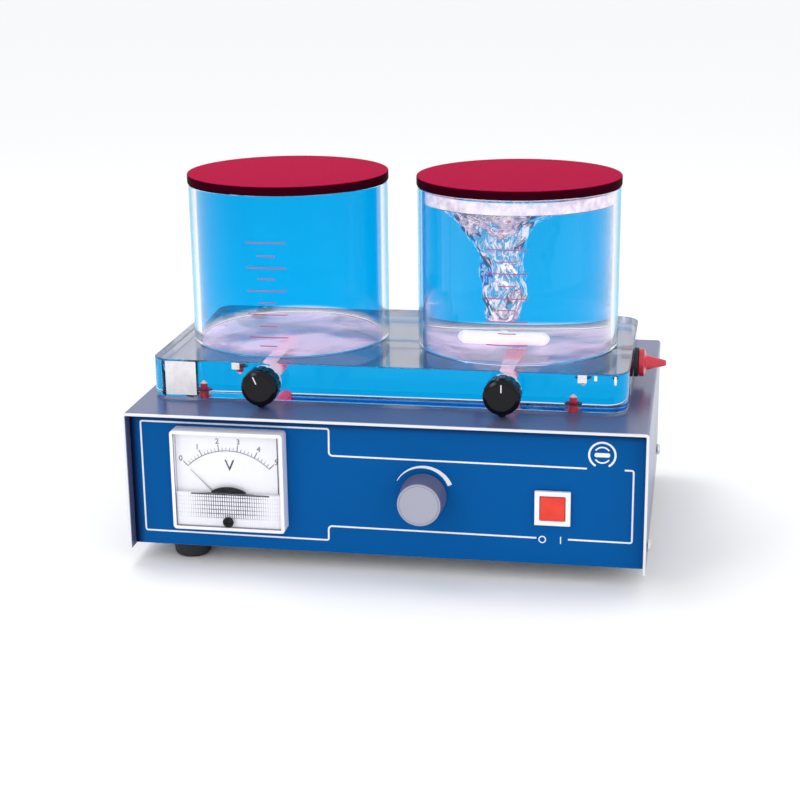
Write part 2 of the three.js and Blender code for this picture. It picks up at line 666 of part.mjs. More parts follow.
// The speed regulator's board with its capacitor, finned heat sink and relay.
function circuitBoard() {
  const top = BOARD.bottom + BOARD.thickness;
  const sunk = top - 0.5;
  const board = box(BOARD.x0, BOARD.x1, BOARD.y0, BOARD.y1, BOARD.bottom, top);
  const capacitor = placed(
    rod(CAPACITOR.radius, sunk, top + CAPACITOR.height), CAPACITOR.x, CAPACITOR.y, 0);
  const relay = box(RELAY.x0, RELAY.x1, RELAY.y0, RELAY.y1, sunk, top + RELAY.height);
  const { x0, x1, y0, sheet, finPitch, finEnd, height } = HEAT_SINK;
  const sink = box(x0, x1, y0, y0 + sheet, sunk, top + height);
  const fins = [0, 1, 2, 3].map((i) => {
    const x = x0 + i * finPitch;
    return box(x, x + 2, y0 + sheet - 1, finEnd, sunk, top + height);
  });
  return join(board, capacitor, relay, sink, ...fins);
}

const INLET_FLANGE = { halfWidth: 19, halfHeight: 13, thickness: 2.2 };
const CAVITY = { half: 12, bottom: -8, shoulder: 4, top: 8, floor: 5 };
const BLADE = { halfWidth: 1, halfHeight: 2, spread: 7, low: -2, high: 2, short: 2 };
const TAB = { halfWidth: 2.4, halfThickness: 0.4, length: 7 };

// The cavity and its three blades face the rear, as on a standard appliance inlet.
function mainsInlet() {
  const { x, z, width, height, depth } = INLET;
  const outside = REAR_FACE + GAP;
  const front = REAR_FACE - SHEET - depth;
  const shell = box(-width / 2, width / 2, front, outside + 1, -height / 2, height / 2);
  const { halfWidth, halfHeight, thickness } = INLET_FLANGE;
  const flange = box(-halfWidth, halfWidth, outside, outside + thickness, -halfHeight, halfHeight);
  const mouth = outside + thickness + OVERCUT;
  const { half, bottom, shoulder, top, floor } = CAVITY;
  const hole = polygon([
    [-half, bottom], [half, bottom], [half, shoulder], [top, top], [-top, top], [-half, shoulder],
  ]);
  const cavity = sheetAlongY(hole, front + floor, mouth);
  const bladePlaces = [[-BLADE.spread, BLADE.low], [BLADE.spread, BLADE.low], [0, BLADE.high]];
  const blades = bladePlaces.map(([bx, bz]) => box(
    bx - BLADE.halfWidth, bx + BLADE.halfWidth, front + floor - 1, outside - BLADE.short,
    bz - BLADE.halfHeight, bz + BLADE.halfHeight));
  const terminals = bladePlaces.map(([tx]) => box(
    tx - TAB.halfWidth, tx + TAB.halfWidth, front - TAB.length, front + 1,
    -TAB.halfThickness, TAB.halfThickness));
  return placed(join(cut(join(shell, flange), cavity), ...blades, ...terminals), x, 0, z);
}

const FUSE_FLANGE = REAR_FACE + GAP;
const FUSE_LIP = FUSE_FLANGE + 1.6;
const FUSE_HOLDER = { front: 160, flange: 8.5, boreFront: 166 };
const FUSE_CAP = { front: 168, stem: 4, rim: 6.6, crown: 5.6, height: 6, slotDepth: 1.2, slot: 1.4 };

function fuseHolder() {
  const { front, flange, boreFront } = FUSE_HOLDER;
  const body = turned([
    [0, front], [FUSE.radius, front], [FUSE.radius, FUSE_FLANGE], [flange, FUSE_FLANGE],
    [flange, FUSE_LIP], [0, FUSE_LIP],
  ], 'y');
  const bore = rod(FUSE_CAP.stem + GAP, boreFront, FUSE_LIP + OVERCUT, 'y');
  return placed(cut(body, bore), FUSE.x, 0, FUSE.z);
}

function fuseCap() {
  const face = FUSE_LIP + GAP;
  const { front, stem, rim, crown, height, slotDepth, slot: slotWidth } = FUSE_CAP;
  const end = face + height;
  const profile = [
    [0, front], [stem, front], [stem, face], [rim, face], [rim - 0.4, end - 0.6], [crown, end], [0, end],
  ];
  const reach = rim + OVERCUT;
  const slot = box(-reach, reach, end - slotDepth, end + OVERCUT, -slotWidth / 2, slotWidth / 2);
  return placed(cut(turned(profile, 'y'), slot), FUSE.x, 0, FUSE.z);
}

function addElectrics() {
  add('motor', motor(), 'steel');
  add('motor_shaft', motorShaft(), 'steel');
  add('motor_bracket', motorBracket(), 'aluminium');
  add('magnet_carrier', magnetCarrier(), 'aluminium');
  add('drive_magnet_left', magnetPocket(-1, MAGNET.radius, CARRIER.top - 2 + GAP, MAGNET.top), 'magnet');
  add('drive_magnet_right', magnetPocket(1, MAGNET.radius, CARRIER.top - 2 + GAP, MAGNET.top), 'magnet');
  add('transformer_core', transformerCore(), 'steel');
  add('transformer_winding', transformerWinding(), 'copper');
  add('circuit_board', circuitBoard(), 'boardGreen');
  add('mains_inlet', mainsInlet(), 'blackPlastic');
  add('fuse_holder', fuseHolder(), 'blackPlastic');
  add('fuse_cap', fuseCap(), 'blackPlastic');
}

// ---------------------------------------------------------------- mixer

const PIN_HEIGHT = { flange: 4.3, top: 5.2, stud: 8.4, tip: 10.2 };
const GLAND = { radius: 9.5, front: 27, spigot: 6, end: 37 };
const NOZZLE = { flange: 8.2, spigot: 4, spigotStart: 125, washer: 2.5, tip: 151, bore: 1.2 };

function locatingPin() {
  const seat = CASE_TOP + GAP;
  const z = (height) => CASE_TOP + height;
  return turned([
    [0, CASE_TOP - SHEET], [PIN.stub - 0.4, CASE_TOP - SHEET], [PIN.stub, CASE_TOP - SHEET + 0.4],
    [PIN.stub, seat], [PIN.body, seat], [PIN.body, z(PIN_HEIGHT.flange)],
    [PIN.flange, z(PIN_HEIGHT.flange)], [PIN.flange, z(PIN_HEIGHT.top)], [PIN.stud, z(PIN_HEIGHT.top)],
    [PIN.stud, z(PIN_HEIGHT.stud)], [0, z(PIN_HEIGHT.tip)],
  ]);
}

// Drilled from below: a counterbore for the flange, then the stud's hole with its drill point.
function pinHole() {
  const z = (height) => CASE_TOP + height + GAP;
  const below = BLOCK_BOTTOM - OVERCUT;
  return turned([
    [0, below], [PIN.flange + GAP, below], [PIN.flange + GAP, z(PIN_HEIGHT.top)],
    [PIN.stud + GAP, z(PIN_HEIGHT.top)], [PIN.stud + GAP, z(PIN_HEIGHT.stud)], [0, z(PIN_HEIGHT.tip)],
  ]);
}

function stemBore(x) {
  const front = BLOCK_FRONT - OVERCUT;
  const stem = rod(STEM_RADIUS + GAP, front, STEM_END + GAP, 'y');
  const spigot = rod(GLAND.spigot + GAP, front, GLAND.end + GAP, 'y');
  return placed(join(stem, spigot), x, 0, CHANNEL_Z);
}

// One straight channel is drilled from the right side as far as the left valve. A hole under the
// middle of each cup leads down to its valve, and a feed hole lets the channel into the right cup.
function mixerBlock() {
  const outline = roundedRectangle(
    MIXER_X - BLOCK.width / 2, BLOCK_RIGHT, BLOCK_FRONT, BLOCK_FRONT + BLOCK.depth, BLOCK.corner);
  const [left, right] = SIDES.map(({ cupX }) => cupX);
  const channel = placed(rod(CHANNEL_RADIUS, left, BLOCK_RIGHT + OVERCUT, 'x'), 0, MIXER_Y, CHANNEL_Z);
  const outlet = rod(NOZZLE.spigot + GAP, NOZZLE.spigotStart - GAP, BLOCK_RIGHT + OVERCUT, 'x');
  const drops = [left, right, right - FEED_OFFSET].map((x) => placed(
    rod(CHANNEL_RADIUS, CHANNEL_Z, BLOCK_TOP + OVERCUT), x, MIXER_Y, 0));
  return cut(
    slab(outline, BLOCK_BOTTOM, BLOCK_TOP, 6),
    channel,
    placed(outlet, 0, MIXER_Y, CHANNEL_Z),
    ...drops,
    ...SIDES.map(({ cupX }) => stemBore(cupX)),
    ...pinPlaces().map(({ x, y }) => placed(pinHole(), x, y, 0)),
  );
}

function cup(x) {
  return placed(ring(CUP.radius, CUP_INSIDE, CUP_BOTTOM, CUP_TOP, 'z', LARGE), x, MIXER_Y, 0);
}

// A flat disc with a shallow step that drops inside the cup's rim.
function lid(x) {
  const seat = CUP_TOP + GAP;
  const top = seat + LID.thickness;
  const inside = CUP_INSIDE - 0.5;
  return placed(turned([
    [0, seat - LID.step], [inside, seat - LID.step], [inside, seat], [LID.radius, seat],
    [LID.radius, top - 0.4], [LID.radius - 0.4, top], [0, top],
  ], 'z', LARGE), x, MIXER_Y, 0);
}

// The stem is a rotary plug: an elbow port joins the cup's hole above to the channel on its right.
function valveStem(x) {
  const body = turned([
    [0, VALVE_KNOB.front + 3.6], [STEM_RADIUS, VALVE_KNOB.front + 3.6],
    [STEM_RADIUS, STEM_END - 1], [STEM_RADIUS - 1, STEM_END], [0, STEM_END],
  ], 'y');
  const portUp = placed(rod(1.5, 0, STEM_RADIUS + OVERCUT), 0, MIXER_Y, 0);
  const portAcross = placed(rod(1.5, -1, STEM_RADIUS + OVERCUT, 'x'), 0, MIXER_Y, 0);
  return placed(cut(body, portUp, portAcross), x, 0, CHANNEL_Z);
}

function valveKnob(x) {
  const { radius, front, back } = VALVE_KNOB;
  const corners = 36; // every third corner is the bottom of a flute
  const outline = polygon(Array.from({ length: corners }, (_, i) => {
    const angle = (i / corners) * 2 * Math.PI;
    const reach = radius - (i % 3 === 0 ? 0.9 : 0);
    return [reach * Math.cos(angle), reach * Math.sin(angle)];
  }));
  const dome = [[0, front], [radius - 2.6, front], [radius, front + 1.6], [radius, back], [0, back]];
  const crown = turned(dome, 'y', corners);
  const bore = rod(STEM_RADIUS + GAP, front + 3.2, back + OVERCUT, 'y');
  const knob = cut(solid(sheetAlongY(outline, front, back)).intersect(solid(crown)), bore);
  return placed(knob, x, 0, CHANNEL_Z);
}

function valveGland(x) {
  const face = BLOCK_FRONT - GAP;
  const { radius, front, spigot, end } = GLAND;
  const body = turned([
    [0, front], [radius - 0.6, front], [radius, front + 0.6], [radius, face], [spigot, face],
    [spigot, end], [0, end],
  ], 'y', MEDIUM);
  return placed(cut(body, rod(STEM_RADIUS + GAP, 0, end + OVERCUT, 'y')), x, 0, CHANNEL_Z);
}

function outletWasher() {
  const from = BLOCK_RIGHT + GAP;
  const washer = ring(8.4, NOZZLE.spigot + GAP, from, from + NOZZLE.washer, 'x', MEDIUM);
  return placed(washer, 0, MIXER_Y, CHANNEL_Z);
}

function outletNozzle() {
  const face = BLOCK_RIGHT + 2 * GAP + NOZZLE.washer;
  const body = turned([
    [0, NOZZLE.spigotStart], [NOZZLE.spigot, NOZZLE.spigotStart], [NOZZLE.spigot, face],
    [NOZZLE.flange, face], [NOZZLE.flange, face + 3], [4.4, face + 4.2], [3.9, face + 6.4],
    [1.7, NOZZLE.tip - 0.6], [0, NOZZLE.tip],
  ], 'x', MEDIUM);
  const bore = rod(NOZZLE.bore, NOZZLE.spigotStart - OVERCUT, NOZZLE.tip + OVERCUT, 'x');
  return placed(cut(body, bore), 0, MIXER_Y, CHANNEL_Z);
}

// A coated bar magnet with round ends and a raised pivot ring round its middle.
function stirBar() {
  const { length, radius } = BAR;
  const half = length / 2;
  const steps = 4;
  const end = (sign) => Array.from({ length: steps + 1 }, (_, i) => {
    const angle = (i / steps) * (Math.PI / 2);
    return [radius * Math.sin(angle), sign * (half - radius + radius * Math.cos(angle))];
  });
  const ringTop = radius + 0.6;
  const profile = [
    ...end(-1), [radius, -1.6], [ringTop, -1], [ringTop, 1], [radius, 1.6], ...end(1).reverse(),
  ];
  return placed(turned(profile, 'x'), BAR.x, MIXER_Y, BLOCK_TOP + GAP + ringTop);
}

function addMixer() {
  for (const { name, x, y } of pinPlaces()) {
    add(`locating_pin_${name}`, placed(locatingPin(), x, y, 0), 'redPlastic');
  }
  add('mixer_block', mixerBlock(), 'clearAcrylic');
  for (const { side, cupX } of SIDES) {
    add(`cup_${side}`, cup(cupX), 'clearAcrylic');
    add(`lid_${side}`, lid(cupX), 'lidRed');
    add(`valve_stem_${side}`, valveStem(cupX), 'redPlastic');
    add(`valve_knob_${side}`, valveKnob(cupX), 'blackPlastic');
    add(`valve_gland_${side}`, valveGland(cupX), 'whitePlastic');
  }
  add('outlet_washer', outletWasher(), 'blackRubber');
  add('outlet_nozzle', outletNozzle(), 'redPlastic');
  add('stir_bar', stirBar(), 'whitePlastic');
}

// ---------------------------------------------------------------- assembly

addCase();
addMeter();
addControls();
addElectrics();
addMixer();

// The outer box runs from the left cover screws to the nozzle's tip, and from the speed knob to
// the fuse cap. The origin goes under its middle.
const outer = new THREE.Box3().setFromObject(stirrer);
const middle = outer.getCenter(new THREE.Vector3());
stirrer.position.set(-middle.x, -middle.y, 0);

export default stirrer;
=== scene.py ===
import bpy
import math
from mathutils import Matrix, Vector


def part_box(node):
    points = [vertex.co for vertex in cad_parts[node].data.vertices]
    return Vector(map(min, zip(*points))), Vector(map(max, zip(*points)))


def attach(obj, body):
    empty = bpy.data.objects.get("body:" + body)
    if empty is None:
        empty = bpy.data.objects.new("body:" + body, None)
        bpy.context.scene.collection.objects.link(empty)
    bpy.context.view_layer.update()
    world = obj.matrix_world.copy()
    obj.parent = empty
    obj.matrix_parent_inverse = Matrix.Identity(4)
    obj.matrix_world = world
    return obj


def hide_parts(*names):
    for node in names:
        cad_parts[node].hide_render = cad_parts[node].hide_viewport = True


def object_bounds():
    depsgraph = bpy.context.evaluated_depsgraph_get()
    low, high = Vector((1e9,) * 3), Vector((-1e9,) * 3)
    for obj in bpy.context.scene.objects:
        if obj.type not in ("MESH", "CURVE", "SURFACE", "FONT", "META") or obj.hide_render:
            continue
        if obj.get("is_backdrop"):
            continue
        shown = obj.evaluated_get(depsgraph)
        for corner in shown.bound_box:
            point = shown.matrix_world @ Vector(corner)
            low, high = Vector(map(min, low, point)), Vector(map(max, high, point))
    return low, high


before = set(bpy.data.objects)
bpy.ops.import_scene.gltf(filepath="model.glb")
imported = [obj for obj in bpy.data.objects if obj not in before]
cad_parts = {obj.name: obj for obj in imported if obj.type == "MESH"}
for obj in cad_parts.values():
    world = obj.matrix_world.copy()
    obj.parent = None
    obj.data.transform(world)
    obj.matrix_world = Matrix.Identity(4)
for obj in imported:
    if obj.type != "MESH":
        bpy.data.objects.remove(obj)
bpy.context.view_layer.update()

# The camera stands in front of the stirrer, a little to its right and above it, and looks down
# at the cups. The bench is a plain pale top that runs far behind.
camera = bpy.data.objects.new("camera", bpy.data.cameras.new("camera"))
bpy.context.scene.collection.objects.link(camera)
bpy.context.scene.camera = camera
camera.data.lens = 77.25
camera.data.sensor_width = 36
camera.data.clip_start = 0.05
camera_place = (0.1653, -0.9672, 0.3664)
camera_turn, camera_tilt, camera_roll = 0.1766, 0.2890, -0.0122
camera.matrix_world = (
    Matrix.Translation(camera_place)
    @ Matrix.Rotation(camera_turn, 4, "Z")
    @ Matrix.Rotation(math.pi / 2 - camera_tilt, 4, "X")
    @ Matrix.Rotation(camera_roll, 4, "Z")
)


def put_down():
    """Nothing is held or selected."""
    if bpy.context.object and bpy.context.object.mode == "EDIT":
        bpy.ops.object.mode_set(mode="OBJECT")
    bpy.ops.object.select_all(action="DESELECT")


def hold(piece):
    put_down()
    piece.hide_viewport = False
    piece.select_set(True)
    bpy.context.view_layer.objects.active = piece


def feed(finish, node, links):
    """Gives each input in links its socket or its value."""
    for key, value in links.items():
        if isinstance(value, bpy.types.NodeSocket):
            finish.node_tree.links.new(value, node.inputs[key])
        else:
            node.inputs[key].default_value = value


def add_node(finish, kind, links=None, **settings):
    node = finish.node_tree.nodes.new(kind)
    for key, value in settings.items():
        setattr(node, key, value)
    feed(finish, node, links or {})
    return node


def blank_finish(name):
    """A new material, with its surface shader and the place on the piece."""
    finish = bpy.data.materials.new(name)
    finish.use_nodes = True
    place = add_node(finish, "ShaderNodeTexCoord").outputs["Object"]
    return finish, finish.node_tree.nodes["Principled BSDF"], place


def ramp(finish, value, low=0.0, high=1.0, start=0.0, end=1.0, **settings):
    """Goes from start to end while the value goes from low to high."""
    return add_node(finish, "ShaderNodeMapRange", {
        "Value": value, "From Min": low, "From Max": high, "To Min": start, "To Max": end},
        **settings).outputs["Result"]


bench_paint, paint, place = blank_finish("bench_paint")
bench_spot = add_node(bench_paint, "ShaderNodeTexNoise", {"Scale": 3.0, "Detail": 3.0})
feed(bench_paint, paint, {
    "Base Color": ramp(bench_paint, bench_spot.outputs["Fac"], start=0.95, end=0.97),
    "Roughness": 0.9})
put_down()
bpy.ops.mesh.primitive_plane_add(size=14, location=(0, 3, 0))
bench = bpy.context.object
bench.name = "bench"
bench.data.materials.append(bench_paint)
bench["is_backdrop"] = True

bpy.context.scene.view_settings.view_transform = "Standard"
studio = bpy.data.worlds.new("studio")
bpy.context.scene.world = studio
studio.use_nodes = True
studio.node_tree.nodes["Background"].inputs["Color"].default_value = (0.98, 0.99, 1, 1)
studio.node_tree.nodes["Background"].inputs["Strength"].default_value = 1.0


def lamp(name, place, aim, width, height, power):
    """A soft box lamp that looks at the point aim."""
    light = bpy.data.objects.new(name, bpy.data.lights.new(name, "AREA"))
    bpy.context.scene.collection.objects.link(light)
    light.data.shape = "RECTANGLE"
    light.data.size, light.data.size_y, light.data.energy = width, height, power
    light.location = place
    light.rotation_euler = (Vector(aim) - Vector(place)).to_track_quat("-Z", "Y").to_euler()


lamp("top_lamp", (-0.35, 0.15, 1.15), (0, 0, 0.1), 0.5, 0.4, 3.2)
lamp("front_lamp", (-0.75, -1.1, 0.75), (0, 0, 0.08), 0.4, 0.4, 2.2)
lamp("right_lamp", (1.0, -0.5, 0.55), (0.05, 0, 0.08), 0.3, 0.6, 1.2)


# The cover is one sheet of 1.5 mm steel folded down at both sides and sprayed with a satin
# grey enamel. Its front edge is painted near white, a painted highlight. The rear panel has
# the same paint.
def copy_of(node, name):
    """A clean copy of a frame solid, its flat faces whole again."""
    piece = bpy.data.objects.new(name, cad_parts[node].data.copy())
    bpy.context.scene.collection.objects.link(piece)
    piece.data.materials.clear()
    hold(piece)
    bpy.ops.object.mode_set(mode="EDIT")
    bpy.ops.mesh.select_all(action="SELECT")
    bpy.ops.mesh.remove_doubles(threshold=0.00001)
    bpy.ops.mesh.dissolve_limited(angle_limit=math.radians(1))
    bpy.ops.object.mode_set(mode="OBJECT")
    return piece


def true_normals(piece, smooth):
    """Smooths what is round, and keeps the large flat faces flat up to their edges."""
    hold(piece)
    bpy.ops.object.shade_smooth_by_angle(angle=math.radians(smooth))
    flat = piece.modifiers.new("flat", "WEIGHTED_NORMAL")
    flat.weight, flat.keep_sharp = 100, True
    bpy.ops.object.modifier_apply(modifier="flat")


def ease_edges(piece, width, segments=2, angle=35, smooth=35):
    """Breaks the sharp edges and smooths what is round."""
    hold(piece)
    edges = piece.modifiers.new("edges", "BEVEL")
    edges.width, edges.segments = width, segments
    edges.limit_method, edges.angle_limit = "ANGLE", math.radians(angle)
    edges.harden_normals = False
    bpy.ops.object.modifier_apply(modifier="edges")
    true_normals(piece, smooth)
    return piece


def fit(piece, finish, slot, body, *nodes):
    """Gives the piece its finish, fixes it to its body, and lets it stand for frame nodes."""
    if finish is not None:
        piece.data.materials.clear()
        piece.data.materials.append(finish)
    if nodes:
        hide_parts(*nodes)
    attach(piece, body)
    return piece


def noise(finish, place, scale, detail, distortion=0.0):
    """A cloudy pattern fixed to the piece."""
    return add_node(finish, "ShaderNodeTexNoise", {
        "Vector": place, "Scale": scale, "Detail": detail,
        "Distortion": distortion}).outputs["Fac"]


def blend(finish, share, first, second):
    """The first colour where the share is 0, the second where it is 1."""
    first, second = [c if isinstance(c, bpy.types.NodeSocket) else (*c, 1)
                     for c in (first, second)]
    return add_node(finish, "ShaderNodeMix", {
        "Factor": share, "A": first, "B": second}, data_type="RGBA").outputs[2]


def relief(finish, shader, height, strength, deep, **settings):
    """Small bumps in the surface."""
    bumps = add_node(finish, "ShaderNodeBump", {
        "Height": height, "Strength": strength, "Distance": deep}, **settings)
    feed(finish, shader, {"Normal": bumps.outputs["Normal"]})


def along(finish, vector, axis):
    """One coordinate of a place or a direction."""
    return add_node(finish, "ShaderNodeSeparateXYZ", {"Vector": vector}).outputs[axis]


def satin_enamel(name, colour, grain, peel, low, high):
    """Sprayed enamel: a fine orange peel and small changes of gloss and tone."""
    finish, shader, place = blank_finish(name)
    cloud = noise(finish, place, 18.0, 4.0)
    feed(finish, shader, {
        "Roughness": ramp(finish, cloud, start=low, end=high), "Specular IOR Level": 0.5})
    relief(finish, shader, noise(finish, place, grain, 2.0), peel, 0.0002)
    tone = blend(finish, cloud, [c * 0.94 for c in colour], [min(1, c * 1.05) for c in colour])
    return finish, shader, place, tone


cover_low, cover_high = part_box("case_cover")
cover_enamel, shader, place, tone = satin_enamel(
    "cover_enamel", (0.105, 0.128, 0.262), 900.0, 0.12, 0.20, 0.30)
# A strip along the front edge is painted near white: a painted highlight.
front_edge_highlight = ramp(cover_enamel, along(cover_enamel, place, "Y"),
            cover_low.y + 0.0002, cover_low.y + 0.0016, 0.85, 0.0)
feed(cover_enamel, shader, {
    "Base Color": blend(cover_enamel, front_edge_highlight, tone, (0.9, 0.9, 0.93)), "Metallic": 0.25})
cover = ease_edges(copy_of("case_cover", "cover"), 0.0004)
fit(cover, cover_enamel, "cover_paint", "case", "case_cover")
back_wall = ease_edges(copy_of("rear_panel", "back_wall"), 0.0003)
fit(back_wall, cover_enamel, "cover_paint", "case", "rear_panel")


# The front panel is a 2 mm plate set back inside the cover, in a deep blue satin enamel. It is
# darker along its top and its left end, in the shade of the cover.
def maths(finish, operation, *values):
    return add_node(
        finish, "ShaderNodeMath", dict(enumerate(values)), operation=operation).outputs[0]


panel_enamel, shader, place, tone = satin_enamel(
    "panel_enamel", (0.0, 0.095, 0.336), 1400.0, 0.10, 0.34, 0.46)
panel_low, panel_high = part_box("front_panel")
top_shade = ramp(panel_enamel, along(panel_enamel, place, "Z"),
                 panel_high.z - 0.0052, panel_high.z - 0.0012)
side_shade = ramp(panel_enamel, along(panel_enamel, place, "X"),
                  panel_low.x + 0.0052, panel_low.x + 0.0010)
shade = maths(panel_enamel, "MAXIMUM", top_shade, side_shade)
feed(panel_enamel, shader, {
    "Base Color": blend(panel_enamel, shade, tone, (0.002, 0.008, 0.045)),
    "Specular IOR Level": 0.05})
panel = ease_edges(copy_of("front_panel", "panel"), 0.0003)
fit(panel, panel_enamel, "panel_blue", "case", "front_panel")
panel_face = panel_low.y


# White lines are screen printed on the panel: a frame that steps round the meter, with two
# gaps, a swelling arc over the speed knob, a round sign, and the O and I of the power switch.
def start_point(name, at):
    """A new mesh of one loose point, in edit mode."""
    put_down()
    bpy.ops.mesh.primitive_plane_add(size=0.001, location=(0, 0, 0))
    piece = bpy.context.object
    piece.name = name
    bpy.ops.object.mode_set(mode="EDIT")
    bpy.ops.mesh.select_mode(type="VERT")
    bpy.ops.mesh.select_all(action="SELECT")
    bpy.ops.mesh.merge(type="CENTER")
    bpy.ops.transform.translate(value=at)
    return piece


def draw_to(start, points):
    """Pulls the point along, leaving an edge behind it."""
    here = Vector(start)
    for point in points:
        step = Vector(point) - here
        bpy.ops.mesh.extrude_region_move(TRANSFORM_OT_translate={"value": step})
        here = Vector(point)


def flat_shape(name, outline, y, corner=0.0):
    """A closed outline in X and Z at one Y, filled, with rounded corners if asked."""
    points = [(x, y, z) for x, z in outline]
    piece = start_point(name, points[0])
    draw_to(points[0], points[1:] + points[:1])
    bpy.ops.mesh.select_all(action="SELECT")
    bpy.ops.mesh.remove_doubles(threshold=0.000001)
    bpy.ops.mesh.edge_face_add()
    if corner:
        bpy.ops.mesh.bevel(offset=corner, segments=5, affect="VERTICES")
    return piece


def thicken(depth):
    """Gives the flat shape in hand its thickness towards the front."""
    bpy.ops.mesh.select_all(action="SELECT")
    bpy.ops.mesh.extrude_region_move(TRANSFORM_OT_translate={"value": (0, -depth, 0)})
    bpy.ops.mesh.select_all(action="SELECT")
    bpy.ops.mesh.normals_make_consistent(inside=False)
    bpy.ops.object.mode_set(mode="OBJECT")


def faces_where(piece, test):
    """Selects the faces whose middle passes the test."""
    bpy.ops.mesh.select_all(action="DESELECT")
    bpy.ops.object.mode_set(mode="OBJECT")
    for face in piece.data.polygons:
        face.select = bool(test(face.center, face.normal))
    bpy.ops.object.mode_set(mode="EDIT")
    bpy.ops.mesh.select_mode(type="FACE")


def join_all(name, pieces):
    put_down()
    for piece in pieces:
        piece.select_set(True)
    bpy.context.view_layer.objects.active = pieces[0]
    if len(pieces) > 1:
        bpy.ops.object.join()
    pieces[0].name = name
    return pieces[0]


def ink(name, colour, rough=0.45):
    """Screen ink: nearly flat colour with a slightly uneven lay."""
    finish, shader, place = blank_finish(name)
    lay = noise(finish, place, 900.0, 3.0)
    feed(finish, shader, {
        "Base Color": blend(finish, lay, [c * 0.88 for c in colour], colour),
        "Roughness": rough})
    return finish


def ring_of(middle, radius, from_angle, to_angle, steps):
    """Points on an arc in X and Z, angles from +X towards +Z."""
    angles = [from_angle + (to_angle - from_angle) * i / steps for i in range(steps + 1)]
    return [(middle[0] + radius * math.cos(math.radians(a)),
             middle[1] + radius * math.sin(math.radians(a))) for a in angles]


def band(name, middle, outer, inner, from_angle, to_angle, y, depth, steps=32):
    """A flat arc between two radii."""
    piece = flat_shape(name, ring_of(middle, outer, from_angle, to_angle, steps)
                       + ring_of(middle, inner, to_angle, from_angle, steps), y)
    thicken(depth)
    return piece


def oblong(x0, x1, z0, z1):
    """The corners of an upright oblong."""
    return [(x0, z0), (x1, z0), (x1, z1), (x0, z1)]


white_ink = ink("white_ink", (0.93, 0.94, 0.96))
ink_depth = 0.00006
lift_off = 0.00002
print_face = panel_face - lift_off
half, shift = 0.1375, -0.001695
line_width = 0.00095
frame_line = flat_shape("frame_line", [
    (-half + shift, 0.0842), (-0.0290 + shift, 0.0839), (-0.0292 + shift, 0.0685),
    (half + shift, 0.0675), (half + shift, 0.0252), (-0.0303 + shift, 0.0262),
    (-0.0304 + shift, 0.0178), (-half + shift, 0.0184)], print_face, corner=0.0016)
bpy.ops.mesh.select_all(action="SELECT")
bpy.ops.mesh.normals_make_consistent(inside=False)
bpy.ops.mesh.select_mode(type="FACE")
bpy.ops.mesh.select_all(action="SELECT")
bpy.ops.mesh.inset(thickness=line_width, use_even_offset=True)
bpy.ops.mesh.delete(type="FACE")
sign_gap, mark_gap, halfway = (0.1120, 0.1322), (0.0853, 0.1025), 0.05
for cut_x in sign_gap + mark_gap:
    bpy.ops.mesh.select_all(action="SELECT")
    bpy.ops.mesh.bisect(plane_co=(cut_x + shift, 0, 0), plane_no=(1, 0, 0))
faces_where(frame_line, lambda c, n: (
    (sign_gap[0] < c.x - shift < sign_gap[1] and c.z > halfway)
    or (mark_gap[0] < c.x - shift < mark_gap[1] and c.z < halfway)))
bpy.ops.mesh.delete(type="FACE")
thicken(ink_depth)

knob_x, knob_z = 0.0233 + shift, 0.0476
arc_radius, arc_width, arc_start, arc_sweep, arc_steps = 0.0170, 0.0026, 153, 129, 30
swell_outer = ring_of(
    (knob_x, knob_z), arc_radius, arc_start, arc_start - arc_sweep, arc_steps)
swell_inner = []
for i in range(arc_steps + 1):
    radius = arc_radius - arc_width * (0.12 + 0.88 * i / arc_steps)
    angle = math.radians(arc_start - arc_sweep * i / arc_steps)
    swell_inner.append((knob_x + radius * math.cos(angle), knob_z + radius * math.sin(angle)))
swell = flat_shape("speed_arc", swell_outer + swell_inner[::-1], print_face)
thicken(ink_depth)

sign_x, sign_z = 0.1201 + shift, 0.0751
sign_ring = band(
    "sign_ring", (sign_x, sign_z), 0.0076, 0.0065, -60, 240, print_face, ink_depth)
sign_bar = flat_shape("sign_bar", oblong(
    sign_x - 0.0042, sign_x + 0.0042, sign_z - 0.0012, sign_z + 0.0012), print_face, 0.0011)
thicken(ink_depth)
sign_turn, sign_turn_low = (
    band(name, (sign_x, sign_z), 0.0048, 0.0040, start, start + 110, print_face, ink_depth, 12)
    for name, start in (("sign_turn", 35), ("sign_turn_low", 215)))
mark_o_x, mark_i_x, mark_z, mark_reach = 0.0885 + shift, 0.0985 + shift, 0.0252, 0.0021
mark_o = band(
    "mark_o", (mark_o_x, mark_z), mark_reach, 0.0015, 0, 359.5, print_face, ink_depth, 28)
mark_i = flat_shape("mark_i", oblong(
    mark_i_x - 0.0003, mark_i_x + 0.0003, mark_z - mark_reach, mark_z + mark_reach), print_face)
thicken(ink_depth)
panel_print = join_all("panel_print", [
    frame_line, swell, sign_ring, sign_bar, sign_turn, sign_turn_low, mark_o, mark_i])
fit(panel_print, white_ink, "white_plastic", "case")


# Four round rubber feet hold the case off the bench. Each is moulded with a taper and a small
# lip, and a pan head screw sits in the hollow under it. Four more screws hold the cover.
def eased(profile, ease, steps=3):
    """The same profile with its corners rounded by about that much."""
    points = [Vector(p) for p in profile]
    out = [points[0]]
    for before, corner, after in zip(points, points[1:], points[2:]):
        back, on = before - corner, after - corner
        reach = min(ease, back.length * 0.45, on.length * 0.45)
        start, end = corner + back.normalized() * reach, corner + on.normalized() * reach
        for i in range(steps + 1):
            t = i / steps
            out.append(start * (1 - t) ** 2 + corner * 2 * t * (1 - t) + end * t * t)
    return [tuple(p) for p in out + [points[-1]]]


UP, FRONT, REAR, RIGHT, LEFT = (0, 0, 1), (0, -1, 0), (0, 1, 0), (1, 0, 0), (-1, 0, 0)


